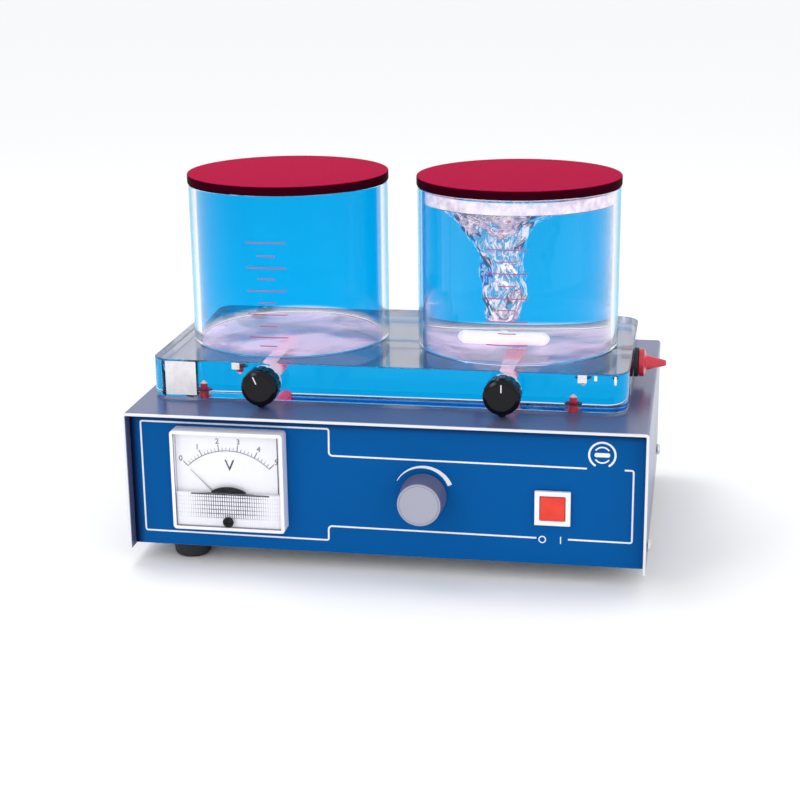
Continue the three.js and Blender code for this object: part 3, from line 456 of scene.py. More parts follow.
def turn(name, profile, foot, facing=UP, steps=96):
    """Spins a profile of (radius, height) about the line through foot along facing."""
    points = [(r, 0, h) for r, h in profile]
    piece = start_point(name, points[0])
    draw_to(points[0], points[1:])
    bpy.ops.mesh.select_all(action="SELECT")
    bpy.ops.mesh.spin(steps=steps, angle=math.tau, center=(0, 0, 0), axis=(0, 0, 1))
    bpy.ops.mesh.select_all(action="SELECT")
    bpy.ops.mesh.remove_doubles(threshold=0.000002)
    bpy.ops.mesh.normals_make_consistent(inside=False)
    bpy.ops.object.mode_set(mode="OBJECT")
    turned_to = Vector(UP).rotation_difference(Vector(facing)).to_matrix().to_4x4()
    piece.data.transform(Matrix.Translation(foot) @ turned_to)
    true_normals(piece, 40)
    return piece


def middle_of(node):
    low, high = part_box(node)
    return (low + high) / 2


foot_rubber, shader, place = blank_finish("foot_rubber")
scuff = noise(foot_rubber, place, 160.0, 5.0)
feed(foot_rubber, shader, {
    "Base Color": blend(foot_rubber, scuff, (0.006, 0.006, 0.008), (0.030, 0.030, 0.034)),
    "Roughness": ramp(foot_rubber, scuff, start=0.55, end=0.85)})
relief(foot_rubber, shader, noise(foot_rubber, place, 1800.0, 3.0), 0.25, 0.0002)

CORNERS = [(end, side) for end in ("front", "rear") for side in ("left", "right")]
for end, side in CORNERS:
    node = f"foot_{end}_{side}"
    low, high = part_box(node)
    top, wide = high.z, (high.x - low.x) / 2
    pad = turn("rubber_" + node, eased([
        (0.0023, 0.0046), (0.0042, 0.0046), (0.0042, 0.0), (wide - 0.0029, 0.0),
        (wide - 0.0011, 0.0018), (wide - 0.0007, 0.0060), (wide, 0.0072), (wide, top),
        (0.0023, top), (0.0023, 0.0046)], 0.0008),
        Vector(((low.x + high.x) / 2, (low.y + high.y) / 2, 0)))
    fit(pad, foot_rubber, "black_rubber", "case", node)


def worn_metal(name, colour, rough, grain, streak=(1.0, 1.0, 1.0)):
    """Bare or plated metal with fine streaks in its gloss and tone."""
    finish, shader, place = blank_finish(name)
    drawn = add_node(finish, "ShaderNodeMapping", {"Vector": place, "Scale": streak})
    lines = noise(finish, drawn.outputs["Vector"], grain, 6.0)
    feed(finish, shader, {
        "Base Color": blend(finish, lines, [c * 0.8 for c in colour], colour),
        "Roughness": ramp(finish, lines, start=rough * 0.75, end=rough * 1.35),
        "Metallic": 1.0})
    relief(finish, shader, lines, 0.12, 0.0001)
    return finish


zinc_plate = worn_metal("zinc_plate", (0.72, 0.73, 0.76), 0.28, 400.0)


def cut_out(piece, tool):
    """Cuts the tool's shape out of the piece, and takes the tool away."""
    hold(piece)
    cut = piece.modifiers.new("cut", "BOOLEAN")
    cut.object, cut.operation, cut.solver = tool, "DIFFERENCE", "EXACT"
    bpy.ops.object.modifier_apply(modifier="cut")
    bpy.data.objects.remove(tool)


def cross_slot(piece, centre, facing, reach, depth):
    """Presses a cross recess into a screw head."""
    turned_to = Vector(UP).rotation_difference(Vector(facing)).to_matrix().to_4x4()
    bars = []
    for wide, long in ((reach * 2, reach * 0.42), (reach * 0.42, reach * 2)):
        put_down()
        bpy.ops.mesh.primitive_cube_add(size=1)
        bar = bpy.context.object
        bar.data.transform(Matrix.Translation(centre) @ turned_to
                           @ Matrix.Diagonal((wide, long, depth * 2, 1)))
        bars.append(bar)
    for bar in bars:
        cut_out(piece, bar)
    true_normals(piece, 35)


for end, side in CORNERS:
    node = f"foot_screw_{end}_{side}"
    low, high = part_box(node)
    axis = Vector(((low.x + high.x) / 2, (low.y + high.y) / 2, 0))
    screw = turn("pan_" + node, eased([
        (0, 0.0020), (0.0030, 0.0020), (0.0038, 0.0028), (0.0038, 0.0043), (0.0020, 0.0043),
        (0.0020, 0.0160), (0, 0.0160)], 0.0003), axis, steps=40)
    cross_slot(screw, axis + Vector((0, 0, 0.0020)), (0, 0, -1), 0.0018, 0.0012)
    fit(screw, zinc_plate, "steel", "case", node)
    node = f"cover_screw_{end}_{side}"
    low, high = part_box(node)
    out, tip_x = (LEFT, low.x) if side == "left" else (RIGHT, high.x)
    tip = Vector((tip_x, (low.y + high.y) / 2, (low.z + high.z) / 2))
    screw = turn("side_" + node, eased([
        (0, -0.0099), (0.0015, -0.0099), (0.0015, -0.0019), (0.0035, -0.0019), (0.0033, -0.0009),
        (0.0024, 0), (0, 0)], 0.0003), tip, out, steps=40)
    cross_slot(screw, tip, out, 0.0015, 0.0010)
    fit(screw, zinc_plate, "steel", "case", node)


# The panel voltmeter has a moulded clear cover with a frosted rim. Behind it are a white ribbed
# mask over the lower half, a low black arch over the moving coil, the pointer and a white dial.
cover_low, cover_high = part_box("meter_cover")
meter_mid = (cover_low + cover_high) / 2
meter_half = (cover_high - cover_low) / 2
window_clear, shader, place = blank_finish("meter_window")


def far_from(finish, socket, centre, limit):
    """1 where a coordinate is further than limit from centre, with a soft edge."""
    size = maths(finish, "ABSOLUTE", maths(finish, "SUBTRACT", socket, centre))
    return ramp(finish, size, limit - 0.0001, limit + 0.0001)


def lay_over(finish, share, below, above):
    """The whole surface: one shader laid over another by the share."""
    whole = add_node(finish, "ShaderNodeMixShader", {0: share, 1: below, 2: above})
    feed(finish, finish.node_tree.nodes["Material Output"], {"Surface": whole.outputs[0]})


rim_width = 0.0019
rim_x = far_from(window_clear, along(window_clear, place, "X"),
                 meter_mid.x, meter_half.x - rim_width)
rim_z = far_from(window_clear, along(window_clear, place, "Z"),
                 meter_mid.z, meter_half.z - rim_width)
haze = noise(window_clear, place, 90.0, 4.0)
feed(window_clear, shader, {
    "Transmission Weight": 1.0, "IOR": 1.45,
    "Roughness": ramp(window_clear, haze, 0.4, 1.0, 0.0, 0.03)})
frosted = add_node(window_clear, "ShaderNodeBsdfPrincipled", {
    "Base Color": (0.90, 0.88, 0.96, 1), "Roughness": 0.25})
see_past = add_node(window_clear, "ShaderNodeBsdfTransparent", {"Color": (0.99, 0.99, 1.0, 1)})
pane = add_node(window_clear, "ShaderNodeMixShader", {
    0: 0.93, 1: shader.outputs["BSDF"], 2: see_past.outputs["BSDF"]})
lay_over(window_clear, maths(window_clear, "MAXIMUM", rim_x, rim_z),
         pane.outputs[0], frosted.outputs["BSDF"])
meter_window = ease_edges(copy_of("meter_cover", "meter_window"), 0.0005, segments=3)
fit(meter_window, window_clear, "clear_cover", "case", "meter_cover")


def moulded(name, colour, rough, grain=700.0, bump=0.08, coat=0.0, mottle=0.08, mirror=0.5):
    """Moulded plastic: a fine even grain and a slightly cloudy tone."""
    finish, shader, place = blank_finish(name)
    cloud = noise(finish, place, 45.0, 5.0)
    feed(finish, shader, {
        "Base Color": blend(finish, cloud, [c * (1 - mottle) for c in colour],
                            [min(1.0, c * (1 + mottle)) for c in colour]),
        "Roughness": ramp(finish, cloud, start=rough * 0.8, end=rough * 1.25),
        "Coat Weight": coat, "Specular IOR Level": mirror})
    relief(finish, shader, noise(finish, place, grain, 2.0), bump, 0.0001)
    return finish


dial_card = moulded("dial_card", (0.97, 0.97, 1.0), 0.55, mottle=0.02)
dial = copy_of("meter_dial", "dial")
fit(dial, dial_card, "white_plastic", "case", "meter_dial")

black_print_and_shadow = ink("black_print_and_shadow", (0.012, 0.012, 0.02), 0.5)
zero_low, zero_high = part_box("meter_zero_screw")
dial_low, dial_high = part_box("meter_dial")
pivot_x, pivot_z = (zero_low.x + zero_high.x) / 2, 0.0371
dial_face, dial_ink = dial_low.y - lift_off, 0.00005
scale_start, scale_sweep, ticks, figures = 135, 90, 25, 5
marks = [band("scale_arc", (pivot_x, pivot_z), 0.0330, 0.03265, 45, 135, dial_face, dial_ink, 48)]
for i in range(ticks + 1):
    angle = scale_start - scale_sweep * i / ticks
    top, half_wide = (0.0366, 0.36) if i % figures == 0 else (0.0348, 0.2)
    marks.append(band(f"tick_{i}", (pivot_x, pivot_z), top, 0.0328,
                      angle - half_wide, angle + half_wide, dial_face, dial_ink, 1))

def lettering(name, words, size, x, z, y, depth):
    """Flat letters in X and Z, centred on a point, facing the front."""
    put_down()
    bpy.ops.object.text_add(location=(0, 0, 0))
    piece = bpy.context.object
    piece.name = name
    piece.data.body, piece.data.size = words, size
    piece.data.align_x, piece.data.align_y = "CENTER", "CENTER"
    piece.data.resolution_u = 4
    piece.data.extrude = depth / 2
    bpy.ops.object.convert(target="MESH")
    piece = bpy.context.object
    stood_up = Matrix.Translation((x, y - depth / 2, z)) @ Matrix.Rotation(math.pi / 2, 4, "X")
    piece.data.transform(stood_up)
    return piece


figure_radius = 0.0386
for i in range(figures + 1):
    angle = math.radians(scale_start - scale_sweep // figures * i)
    marks.append(lettering(
        f"figure_{i}", str(i), 0.0044, pivot_x + figure_radius * math.cos(angle),
        pivot_z + figure_radius * math.sin(angle), dial_face, dial_ink))
marks.append(lettering("volts", "V", 0.0092, -0.0867, 0.0612, dial_face, dial_ink))
dial_print = join_all("dial_print", marks)
fit(dial_print, black_print_and_shadow, "black_plastic", "case")

ribbed_mask, shader, place = blank_finish("ribbed_mask")
sideways, upward = along(ribbed_mask, place, "X"), along(ribbed_mask, place, "Z")


def comb(finish, socket, pitch, share):
    """Thin lines a pitch apart: 1 on the line and 0 between."""
    saw = maths(finish, "FRACT", maths(finish, "DIVIDE", socket, pitch))
    return maths(finish, "LESS_THAN", saw, share)


# The grooves between the ribs are painted dark, painted shade, strongest near the top of the mask
# towards its middle.
ribs = maths(ribbed_mask, "MAXIMUM", comb(ribbed_mask, sideways, 0.0013, 0.30),
             comb(ribbed_mask, upward, 0.0024, 0.16))
from_middle = maths(ribbed_mask, "ABSOLUTE", maths(ribbed_mask, "ADD", sideways, -pivot_x))
groove_shade_fade = maths(ribbed_mask, "MULTIPLY", ramp(ribbed_mask, upward, 0.0300, 0.0325, 0.06, 1.0),
             ramp(ribbed_mask, from_middle, 0.010, 0.024, 1.0, 0.12))
feed(ribbed_mask, shader, {
    "Base Color": blend(ribbed_mask, maths(ribbed_mask, "MULTIPLY", ribs, groove_shade_fade),
                        (0.97, 0.97, 1.0), (0.035, 0.035, 0.06)),
    "Roughness": 0.4})
relief(ribbed_mask, shader, ribs, 0.5, 0.0003, invert=True)
mask = ease_edges(copy_of("meter_mask", "mask"), 0.0002)
fit(mask, ribbed_mask, "white_plastic", "case", "meter_mask")

black_moulding = moulded("black_moulding", (0.004, 0.004, 0.006), 0.25, mirror=0.25)
coil_arch = ease_edges(copy_of("meter_movement_cap", "coil_arch"), 0.0002)
fit(coil_arch, black_moulding, "black_plastic", "case", "meter_movement_cap")
mask_low, mask_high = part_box("meter_mask")
line_depth = 0.00006
mask_line = flat_shape("mask_line", oblong(
    mask_low.x + 0.0085, mask_high.x - 0.0065, mask_high.z - 0.0010, mask_high.z - 0.0003),
    mask_low.y - lift_off)
thicken(line_depth)
# Along the top of the dial and down its right side, inside the window's rim, a thin black line is a
# painted shadow of the rim.
line_left, line_right = dial_high.x - 0.0021, dial_high.x - 0.0015
rim_shadow_line = flat_shape("rim_shadow_line", [
    (dial_low.x, dial_high.z - 0.0008), (line_left, dial_high.z - 0.0008),
    (line_left, mask_high.z), (line_right, mask_high.z), (line_right, dial_high.z),
    (dial_low.x, dial_high.z)], dial_face)
thicken(line_depth)
mask_line_and_rim_shadow = join_all("mask_line_and_rim_shadow", [mask_line, rim_shadow_line])
fit(mask_line_and_rim_shadow, black_print_and_shadow, "black_plastic", "case")
meter_back = ease_edges(copy_of("meter_body", "meter_back"), 0.0003)
fit(meter_back, black_moulding, "black_plastic", "case", "meter_body")

pointer_paint = moulded("pointer_paint", (0.010, 0.010, 0.014), 0.35)
pointer_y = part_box("meter_pointer")[0].y
lean = math.radians(scale_start)


def on_blade(reach, aside):
    """A point of the pointer, that far from the pivot and to one side."""
    return (pivot_x + reach * math.cos(lean) + aside * math.sin(lean),
            pivot_z + reach * math.sin(lean) - aside * math.cos(lean))


blade = flat_shape("pointer_blade", [
    on_blade(-0.0045, 0.0003), on_blade(-0.0045, -0.0003),
    on_blade(0.0305, -0.0001), on_blade(0.0305, 0.0001)], pointer_y + 0.0004)
thicken(0.0002)
hub = turn("pointer_hub", eased([
    (0, 0), (0.0017, 0), (0.0020, -0.0003), (0.0020, -0.0011), (0.0005, -0.0011),
    (0.0005, -0.0060), (0, -0.0060)], 0.0001), (pivot_x, pointer_y, pivot_z), FRONT, steps=40)
pointer = join_all("pointer", [blade, hub])
fit(pointer, pointer_paint, "black_plastic", "meter_pointer", "meter_pointer")
zero_mid = middle_of("meter_zero_screw")
zero_face = Vector((zero_mid.x, zero_low.y, zero_mid.z))
zero = turn("zero_screw", eased([
    (0, 0), (0.0027, 0), (0.0031, -0.0004), (0.0031, -0.0011), (0.0016, -0.0011),
    (0.0016, -0.0041), (0, -0.0041)], 0.0002), zero_face, FRONT, steps=48)
cross_slot(zero, zero_face, FRONT, 0.0022, 0.0005)
fit(zero, black_moulding, "black_plastic", "meter_zero_screw", "meter_zero_screw")


# The speed knob is a plain grey moulding with a flat face and a fine rim, pushed on the steel
# shaft of the potentiometer. Its sides are painted dark blue-grey, painted shade and a painted
# blue reflection. The switch has a white bezel and a lit red push button in it.
knob_low, knob_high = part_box("speed_knob")
knob_mid = Vector(((knob_low.x + knob_high.x) / 2, knob_low.y, (knob_low.z + knob_high.z) / 2))
knob_deep = knob_high.y - knob_low.y
knob_grey, shader, place, tone = satin_enamel(
    "knob_grey", (0.385, 0.385, 0.47), 500.0, 0.2, 0.40, 0.55)
# Only the face that looks to the front keeps the grey; the sides are painted shade and painted blue
# reflection.
normal = add_node(knob_grey, "ShaderNodeNewGeometry").outputs["True Normal"]
face_on = ramp(knob_grey, along(knob_grey, normal, "Y"), -0.5, -0.8)
feed(knob_grey, shader, {
    "Base Color": blend(knob_grey, face_on, (0.115, 0.125, 0.235), tone),
    "Specular IOR Level": 0.25})
knob = turn("grip_knob", eased([
    (0, 0), (0.0106, 0), (0.0108, -0.0003), (0.0110, 0), (0.0116, 0), (0.0121, -0.0006),
    (0.0130, -knob_deep + 0.0006), (0.0129, -knob_deep), (0.0080, -knob_deep), (0.0080, -0.0131),
    (0.0033, -0.0131), (0.0033, -0.0040), (0, -0.0040)], 0.00025), knob_mid, FRONT, steps=128)
fit(knob, knob_grey, "grey_plastic", "speed_control", "speed_knob")

bezel_white = moulded("bezel_white", (0.88, 0.88, 0.92), 0.28, coat=0.3)
bezel = ease_edges(copy_of("switch_body", "switch_bezel"), 0.0005, segments=3)
fit(bezel, bezel_white, "white_plastic", "case", "switch_body")
lit_red, shader, place = blank_finish("lit_red")
glow = blend(lit_red, noise(lit_red, place, 120.0, 2.0),
             (0.68, 0.020, 0.010), (0.86, 0.062, 0.034))
feed(lit_red, shader, {
    "Base Color": glow, "Emission Color": glow, "Emission Strength": 0.05, "Roughness": 0.22,
    "Specular IOR Level": 0.3, "Coat Weight": 0.15})
button = copy_of("power_button", "push_button")
hold(button)
bpy.ops.object.mode_set(mode="EDIT")
faces_where(button, lambda c, n: n.y < -0.9)
bpy.ops.mesh.inset(thickness=0.0013, depth=-0.0004)
bpy.ops.object.mode_set(mode="OBJECT")
ease_edges(button, 0.0004, segments=3)
fit(button, lit_red, "button_red", "power_button", "power_button")


# The mixer block is cast clear acrylic, 22 mm thick, sawn, drilled and polished. Its rear side
# is painted strong blue, painted light of a blue backdrop seen through it, and its front, top and
# bottom are nearly clear.
def clear_plastic(name, ior, tint, glint, rough=0.03):
    """Clear plastic that lamps shine through. tint colours it, painted light included; glint
    colours what it mirrors.
    """
    finish, shader, place = blank_finish(name)
    feed(finish, shader, {
        "Transmission Weight": 1.0, "IOR": ior, "Specular Tint": glint,
        "Roughness": ramp(finish, noise(finish, place, 60.0, 6.0), 0.45, 0.75, 0.0, rough),
        "Base Color": tint(finish, place)})
    see_past = add_node(finish, "ShaderNodeBsdfTransparent", {"Color": (0.99, 0.97, 0.99, 1)})
    shade_ray = add_node(finish, "ShaderNodeLightPath").outputs["Is Shadow Ray"]
    lay_over(finish, shade_ray, shader.outputs["BSDF"], see_past.outputs["BSDF"])
    return finish


CLEAR_CAST = (0.98, 0.96, 0.99)
BLUE_GLINT = (0.10, 0.65, 1.0, 1)


def block_tint(finish, place):
    """Painted blue light on the rear side, for a blue backdrop seen through the block; clear on the
    front, the top and the bottom.
    """
    normal = add_node(finish, "ShaderNodeNewGeometry").outputs["Normal"]
    level = maths(finish, "ABSOLUTE", along(finish, normal, "Z"))
    rear = ramp(finish, along(finish, place, "Y"), -0.035, -0.005,
                interpolation_type="SMOOTHSTEP")
    off_edge = ramp(finish, along(finish, place, "Z"),
                    block_low.z + 0.0012, block_low.z + 0.0022)
    rear_side = maths(finish, "MULTIPLY", ramp(finish, level, 0.75, 0.15), rear)
    share = maths(finish, "MULTIPLY", rear_side, off_edge)
    return blend(finish, share, CLEAR_CAST, (0.0, 0.135, 0.62))


block_low, block_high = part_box("mixer_block")
block_acrylic = clear_plastic("block_acrylic", 1.49, block_tint, BLUE_GLINT)
size = block_high - block_low
mid = (block_low + block_high) / 2
put_down()
bpy.ops.mesh.primitive_cube_add(size=1, location=mid)
block = bpy.context.object
block.name = "acrylic_block"
bpy.ops.transform.resize(value=size)
bpy.ops.object.transform_apply(location=True, rotation=True, scale=True)
bpy.ops.object.mode_set(mode="EDIT")
bpy.ops.mesh.select_mode(type="EDGE")
bpy.ops.mesh.select_all(action="DESELECT")
bpy.ops.object.mode_set(mode="OBJECT")
for edge in block.data.edges:
    a, b = (block.data.vertices[i].co for i in edge.vertices)
    edge.select = abs(a.z - b.z) > 0.01
bpy.ops.object.mode_set(mode="EDIT")
bpy.ops.mesh.bevel(offset=0.012, segments=12, affect="EDGES")
bpy.ops.object.mode_set(mode="OBJECT")
ease_edges(block, 0.0009, segments=3, angle=50, smooth=40)


def drill(piece, name, profile, foot, facing, steps=64):
    """Cuts a turned hole into the piece."""
    cut_out(piece, turn(name, profile, foot, facing, steps))


channel_z = middle_of("valve_stem_left").z
channel_y = middle_of("cup_left").y
cup_x = {side: middle_of(f"cup_{side}").x for side in ("left", "right")}
front_face = block_low.y
stem_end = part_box("valve_stem_left")[1].y
for side in ("left", "right"):
    drill(block, "stem_bore", [
        (0, -0.001), (0.0063, -0.001), (0.0063, 0.0053), (0.0043, 0.0053),
        (0.0043, stem_end + 0.0003 - front_face), (0, stem_end + 0.0003 - front_face)],
        (cup_x[side], front_face, channel_z), REAR)
    drill(block, "cup_drop", [(0, 0), (0.0025, 0), (0.0025, 0.02), (0, 0.02)],
          (cup_x[side], channel_y, channel_z), UP)
drill(block, "feed_drop", [(0, 0), (0.0025, 0), (0.0025, 0.02), (0, 0.02)],
      (cup_x["right"] - 0.020, channel_y, channel_z), UP)
reach = block_high.x - cup_x["left"]
drill(block, "channel", [
    (0, -0.001), (0.0043, -0.001), (0.0043, 0.0073), (0.0025, 0.0073), (0.0025, reach), (0, reach)],
    (block_high.x, channel_y, channel_z), LEFT)
pins = [middle_of(f"locating_pin_{end}_{side}") for end, side in CORNERS]
for pin in pins:
    drill(block, "pin_hole", [
        (0, -0.001), (0.0051, -0.001), (0.0051, 0.0045), (0.0025, 0.0045), (0.0025, 0.0077),
        (0, 0.0095)], (pin.x, pin.y, block_low.z), UP)
true_normals(block, 35)
fit(block, block_acrylic, "clear_acrylic", "mixer", "mixer_block")

# Where the stems, glands and pins sit in the block, a film of clear grease fills the bores, so
# the parts show through the acrylic. The front left corner has a frosted patch and small spots.
bore_film, shader, place = blank_finish("bore_film")
smear = blend(bore_film, noise(bore_film, place, 300.0, 3.0), (0.94, 0.94, 0.96), (1, 1, 1))
film = add_node(bore_film, "ShaderNodeBsdfTransparent", {"Color": smear})
feed(bore_film, bore_film.node_tree.nodes["Material Output"], {"Surface": film.outputs["BSDF"]})
block.data.materials.append(bore_film)
for face in block.data.polygons:
    c = face.center
    in_stem = any(math.hypot(c.x - cup_x[side], c.z - channel_z) < 0.0066 for side in cup_x) and (
        front_face + 0.0003 < c.y < stem_end + 0.001)
    in_pin = any(math.hypot(c.x - pin.x, c.y - pin.y) < 0.0054 for pin in pins) and (
        block_low.z + 0.0002 < c.z < block_low.z + 0.011)
    if in_stem or in_pin:
        face.material_index = 1


def thin_film(name, pattern, dull, fresh, rough, glow, turns_at, clear):
    """A patchy skin. clear is how see-through it is at the two values in turns_at."""
    finish, shader, place = blank_finish(name)
    patches = noise(finish, place, *pattern)
    tone = blend(finish, patches, dull, fresh)
    feed(finish, shader, {"Base Color": tone, "Roughness": rough})
    if glow:
        feed(finish, shader, {"Emission Color": tone, "Emission Strength": glow})
    see_past = add_node(finish, "ShaderNodeBsdfTransparent", {"Color": (1, 1, 1, 1)})
    lay_over(finish, ramp(finish, patches, *turns_at, *clear),
             shader.outputs["BSDF"], see_past.outputs["BSDF"])
    return finish


frosting = thin_film("frosting", (220.0, 6.0), (0.95, 0.88, 0.89), (1.0, 0.99, 0.98),
                     0.6, 0.0, (0.35, 0.65), (0.15, 0.02))
spots = []
for spot in ((-0.1305, -0.1126, 0.0925, 0.1121), (-0.0915, -0.0870, 0.1085, 0.1124),
             (0.1028, 0.1078, 0.1078, 0.1123), (0.1118, 0.1134, 0.1092, 0.1122),
             (0.1226, 0.1240, 0.1072, 0.1121)):
    spots.append(flat_shape("spot", oblong(*spot), front_face - lift_off, corner=0.0004))
    thicken(0.00005)
frosted_spots = join_all("frosted_spots", spots)
fit(frosted_spots, frosting, "white_plastic", "mixer")


# Four red pins locate the block on the case. Each has a body that stands on the cover, a flange
# let into the block, and a stud with a cone tip. The band of the flange is drawn near black and the
# cone tip pale.
pin_red = moulded("pin_red", (0.62, 0.020, 0.045), 0.30, coat=0.3)
case_top = 0.090
peg_red, shader, place, tone = satin_enamel(
    "peg_red", (0.75, 0.025, 0.055), 900.0, 0.1, 0.25, 0.35)
rise = along(peg_red, place, "Z")
on_flange = maths(peg_red, "COMPARE", rise, case_top + 0.00475, 0.0006)
on_tip = ramp(peg_red, rise, case_top + 0.0080, case_top + 0.0086)
dark_flange = blend(peg_red, on_flange, tone, (0.10, 0.004, 0.020))
feed(peg_red, shader, {"Base Color": blend(peg_red, on_tip, dark_flange, (0.92, 0.74, 0.78))})
for (end, side), pin in zip(CORNERS, pins):
    node = f"locating_pin_{end}_{side}"
    peg = turn("peg_" + node, eased([
        (0, -0.0015), (0.0016, -0.0015), (0.0020, -0.0011), (0.0020, 0.0003),
        (0.0027, 0.0003), (0.0027, 0.0043), (0.0048, 0.0043), (0.0048, 0.0052),
        (0.0022, 0.0052), (0.0022, 0.0084), (0, 0.0102)], 0.0002),
        (pin.x, pin.y, case_top), UP, steps=48)
    fit(peg, peg_red, "red_plastic", "mixer", node)


# Each valve is a red rotary stem in the block, held by a clear screwed gland and turned by a
# fluted black knob. A thin white line across the knob's face shows which way the port points.
gland_clear = moulded("gland_clear", (0.88, 0.87, 0.92), 0.22, coat=0.3)
bakelite = moulded(
    "bakelite", (0.0025, 0.0025, 0.005), 0.12, grain=300.0, bump=0.25, mirror=0.22)
stem_red, shader, place, tone = satin_enamel(
    "stem_red", (0.85, 0.010, 0.10), 700.0, 0.1, 0.25, 0.35)
# The stem is drawn pale pink near the front and red towards its far end, and the whole stem glows a
# little, painted light.
far_end = ramp(stem_red, along(stem_red, place, "Y"), stem_end - 0.040, stem_end - 0.030)
stem_colour_and_glow = blend(stem_red, far_end, (1.0, 0.66, 0.76), tone)
feed(stem_red, shader, {
    "Base Color": stem_colour_and_glow, "Emission Color": stem_colour_and_glow, "Emission Strength": 0.45})
for side, dial_turn in (("left", 0.42), ("right", 0.0)):
    low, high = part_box(f"valve_knob_{side}")
    face = Vector(((low.x + high.x) / 2, low.y, (low.z + high.z) / 2))
    deep = high.y - low.y
    knob = turn(f"cock_knob_{side}", eased([
        (0, 0), (0.0078, 0), (0.0099, 0.0011), (0.01055, 0.0028), (0.01055, deep), (0, deep)],
        0.0005, 4), face, REAR, steps=96)
    flutes = []
    for i in range(12):
        angle = math.tau * (i + 0.5) / 12
        put_down()
        bpy.ops.mesh.primitive_cylinder_add(vertices=24, radius=0.0016, depth=0.03)
        flute = bpy.context.object
        beside = Vector((0.0116 * math.cos(angle), 0.017, 0.0116 * math.sin(angle)))
        flute.data.transform(
            Matrix.Translation(face + beside) @ Matrix.Rotation(math.pi / 2, 4, "X"))
        flutes.append(flute)
    cut_out(knob, join_all("flutes", flutes))
    drill(knob, "knob_bore", [
        (0, 0.0035), (0.0043, 0.0035), (0.0043, deep + 0.001), (0, deep + 0.001)], face, REAR, 48)
    # Below the rear of each knob hangs a small dark wedge, a painted shadow and reflection of the
    # knob on the case top.
    shadow_wedge = flat_shape(f"knob_shadow_wedge_{side}", [
        (face.x - 0.0062, face.z - 0.0080), (face.x + 0.0062, face.z - 0.0080),
        (face.x + 0.0009, face.z - 0.0118), (face.x - 0.0009, face.z - 0.0118)],
        face.y + deep - 0.001)
    thicken(deep - 0.005)
    knob = join_all(f"cock_knob_{side}", [knob, shadow_wedge])
    ease_edges(knob, 0.00018, segments=2, angle=50, smooth=45)
    fit(knob, bakelite, "black_plastic", f"valve_{side}", f"valve_knob_{side}")
    line = flat_shape(f"cock_line_{side}", oblong(-0.0003, 0.0003, 0.0030, 0.0074), 0)
    thicken(0.00005)
    just_off = Vector((0, -0.00001, 0))
    line.data.transform(
        Matrix.Translation(face + just_off) @ Matrix.Rotation(-dial_turn, 4, "Y"))
    fit(line, white_ink, "white_plastic", f"valve_{side}")
    gland_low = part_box(f"valve_gland_{side}")[0]
    gland = turn(f"gland_nut_{side}", eased([
        (0.0043, 0), (0.0086, 0), (0.0095, 0.0008), (0.0095, 0.0047), (0.0060, 0.0047),
        (0.0060, 0.0100), (0.0043, 0.0100), (0.0043, 0)], 0.0003),
        (face.x, gland_low.y, face.z), REAR)
    fit(gland, gland_clear, "white_plastic", "mixer", f"valve_gland_{side}")
    stem_low, stem_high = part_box(f"valve_stem_{side}")
    long = stem_high.y - stem_low.y
    stem = turn(f"cock_stem_{side}", eased([
        (0, 0), (0.0040, 0), (0.0040, long - 0.001), (0.0030, long), (0, long)], 0.0003),
        (face.x, stem_low.y, face.z), REAR)
    drill(stem, "port_up", [(0, 0), (0.0015, 0), (0.0015, 0.01), (0, 0.01)],
          (face.x, channel_y, channel_z), UP, 32)
    drill(stem, "port_side", [(0, -0.001), (0.0015, -0.001), (0.0015, 0.01), (0, 0.01)],
          (face.x, channel_y, channel_z), RIGHT, 32)
    fit(stem, stem_red, "red_plastic", f"valve_{side}", f"valve_stem_{side}")


# The outlet is a red hose nozzle screwed into the right end of the channel on a black washer.
washer_low, washer_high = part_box("outlet_washer")
washer = turn("seal_washer", eased([
    (0.0043, 0), (0.0084, 0), (0.0084, 0.0025), (0.0043, 0.0025), (0.0043, 0)], 0.0004),
    (washer_low.x, channel_y, channel_z), RIGHT)
fit(washer, foot_rubber, "black_rubber", "mixer", "outlet_washer")
nozzle_low, nozzle_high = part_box("outlet_nozzle")
flange = washer_high.x + 0.0003 - nozzle_low.x
tip = nozzle_high.x - nozzle_low.x
nozzle = turn("hose_nozzle", eased([
    (0.0012, 0), (0.0040, 0), (0.0040, flange), (0.0082, flange), (0.0082, flange + 0.0030),
    (0.0044, flange + 0.0042), (0.0039, flange + 0.0064), (0.0017, tip - 0.0006), (0.0014, tip),
    (0.0012, tip), (0.0012, 0)], 0.0004), (nozzle_low.x, channel_y, channel_z), RIGHT)
fit(nozzle, pin_red, "red_plastic", "mixer", "outlet_nozzle")


# The two cups are cut from clear acrylic tube and bonded to the block. The rear half of each
# wall is painted the same blue, painted light of the blue backdrop seen through it. Pink
# graduations are printed on the front, long and short.
def rear_half(middle_x, slant):
    """Painted blue light through the rear half of one cup's wall, for the backdrop seen through it;
    clear through its front half and its foot.
    """
    def tint(finish, place):
        aside = maths(finish, "MULTIPLY_ADD", along(finish, place, "X"), -slant,
                      along(finish, place, "Y"))
        middle = channel_y - slant * middle_x
        rear = ramp(finish, aside, middle - 0.016, middle - 0.004,
                    interpolation_type="SMOOTHSTEP")
        above_foot = ramp(finish, along(finish, place, "Z"),
                          block_high.z + 0.0008, block_high.z + 0.0045)
        share = maths(finish, "MULTIPLY", rear, above_foot)
        return blend(finish, share, CLEAR_CAST, (0.0005, 0.385, 0.80))
    return tint


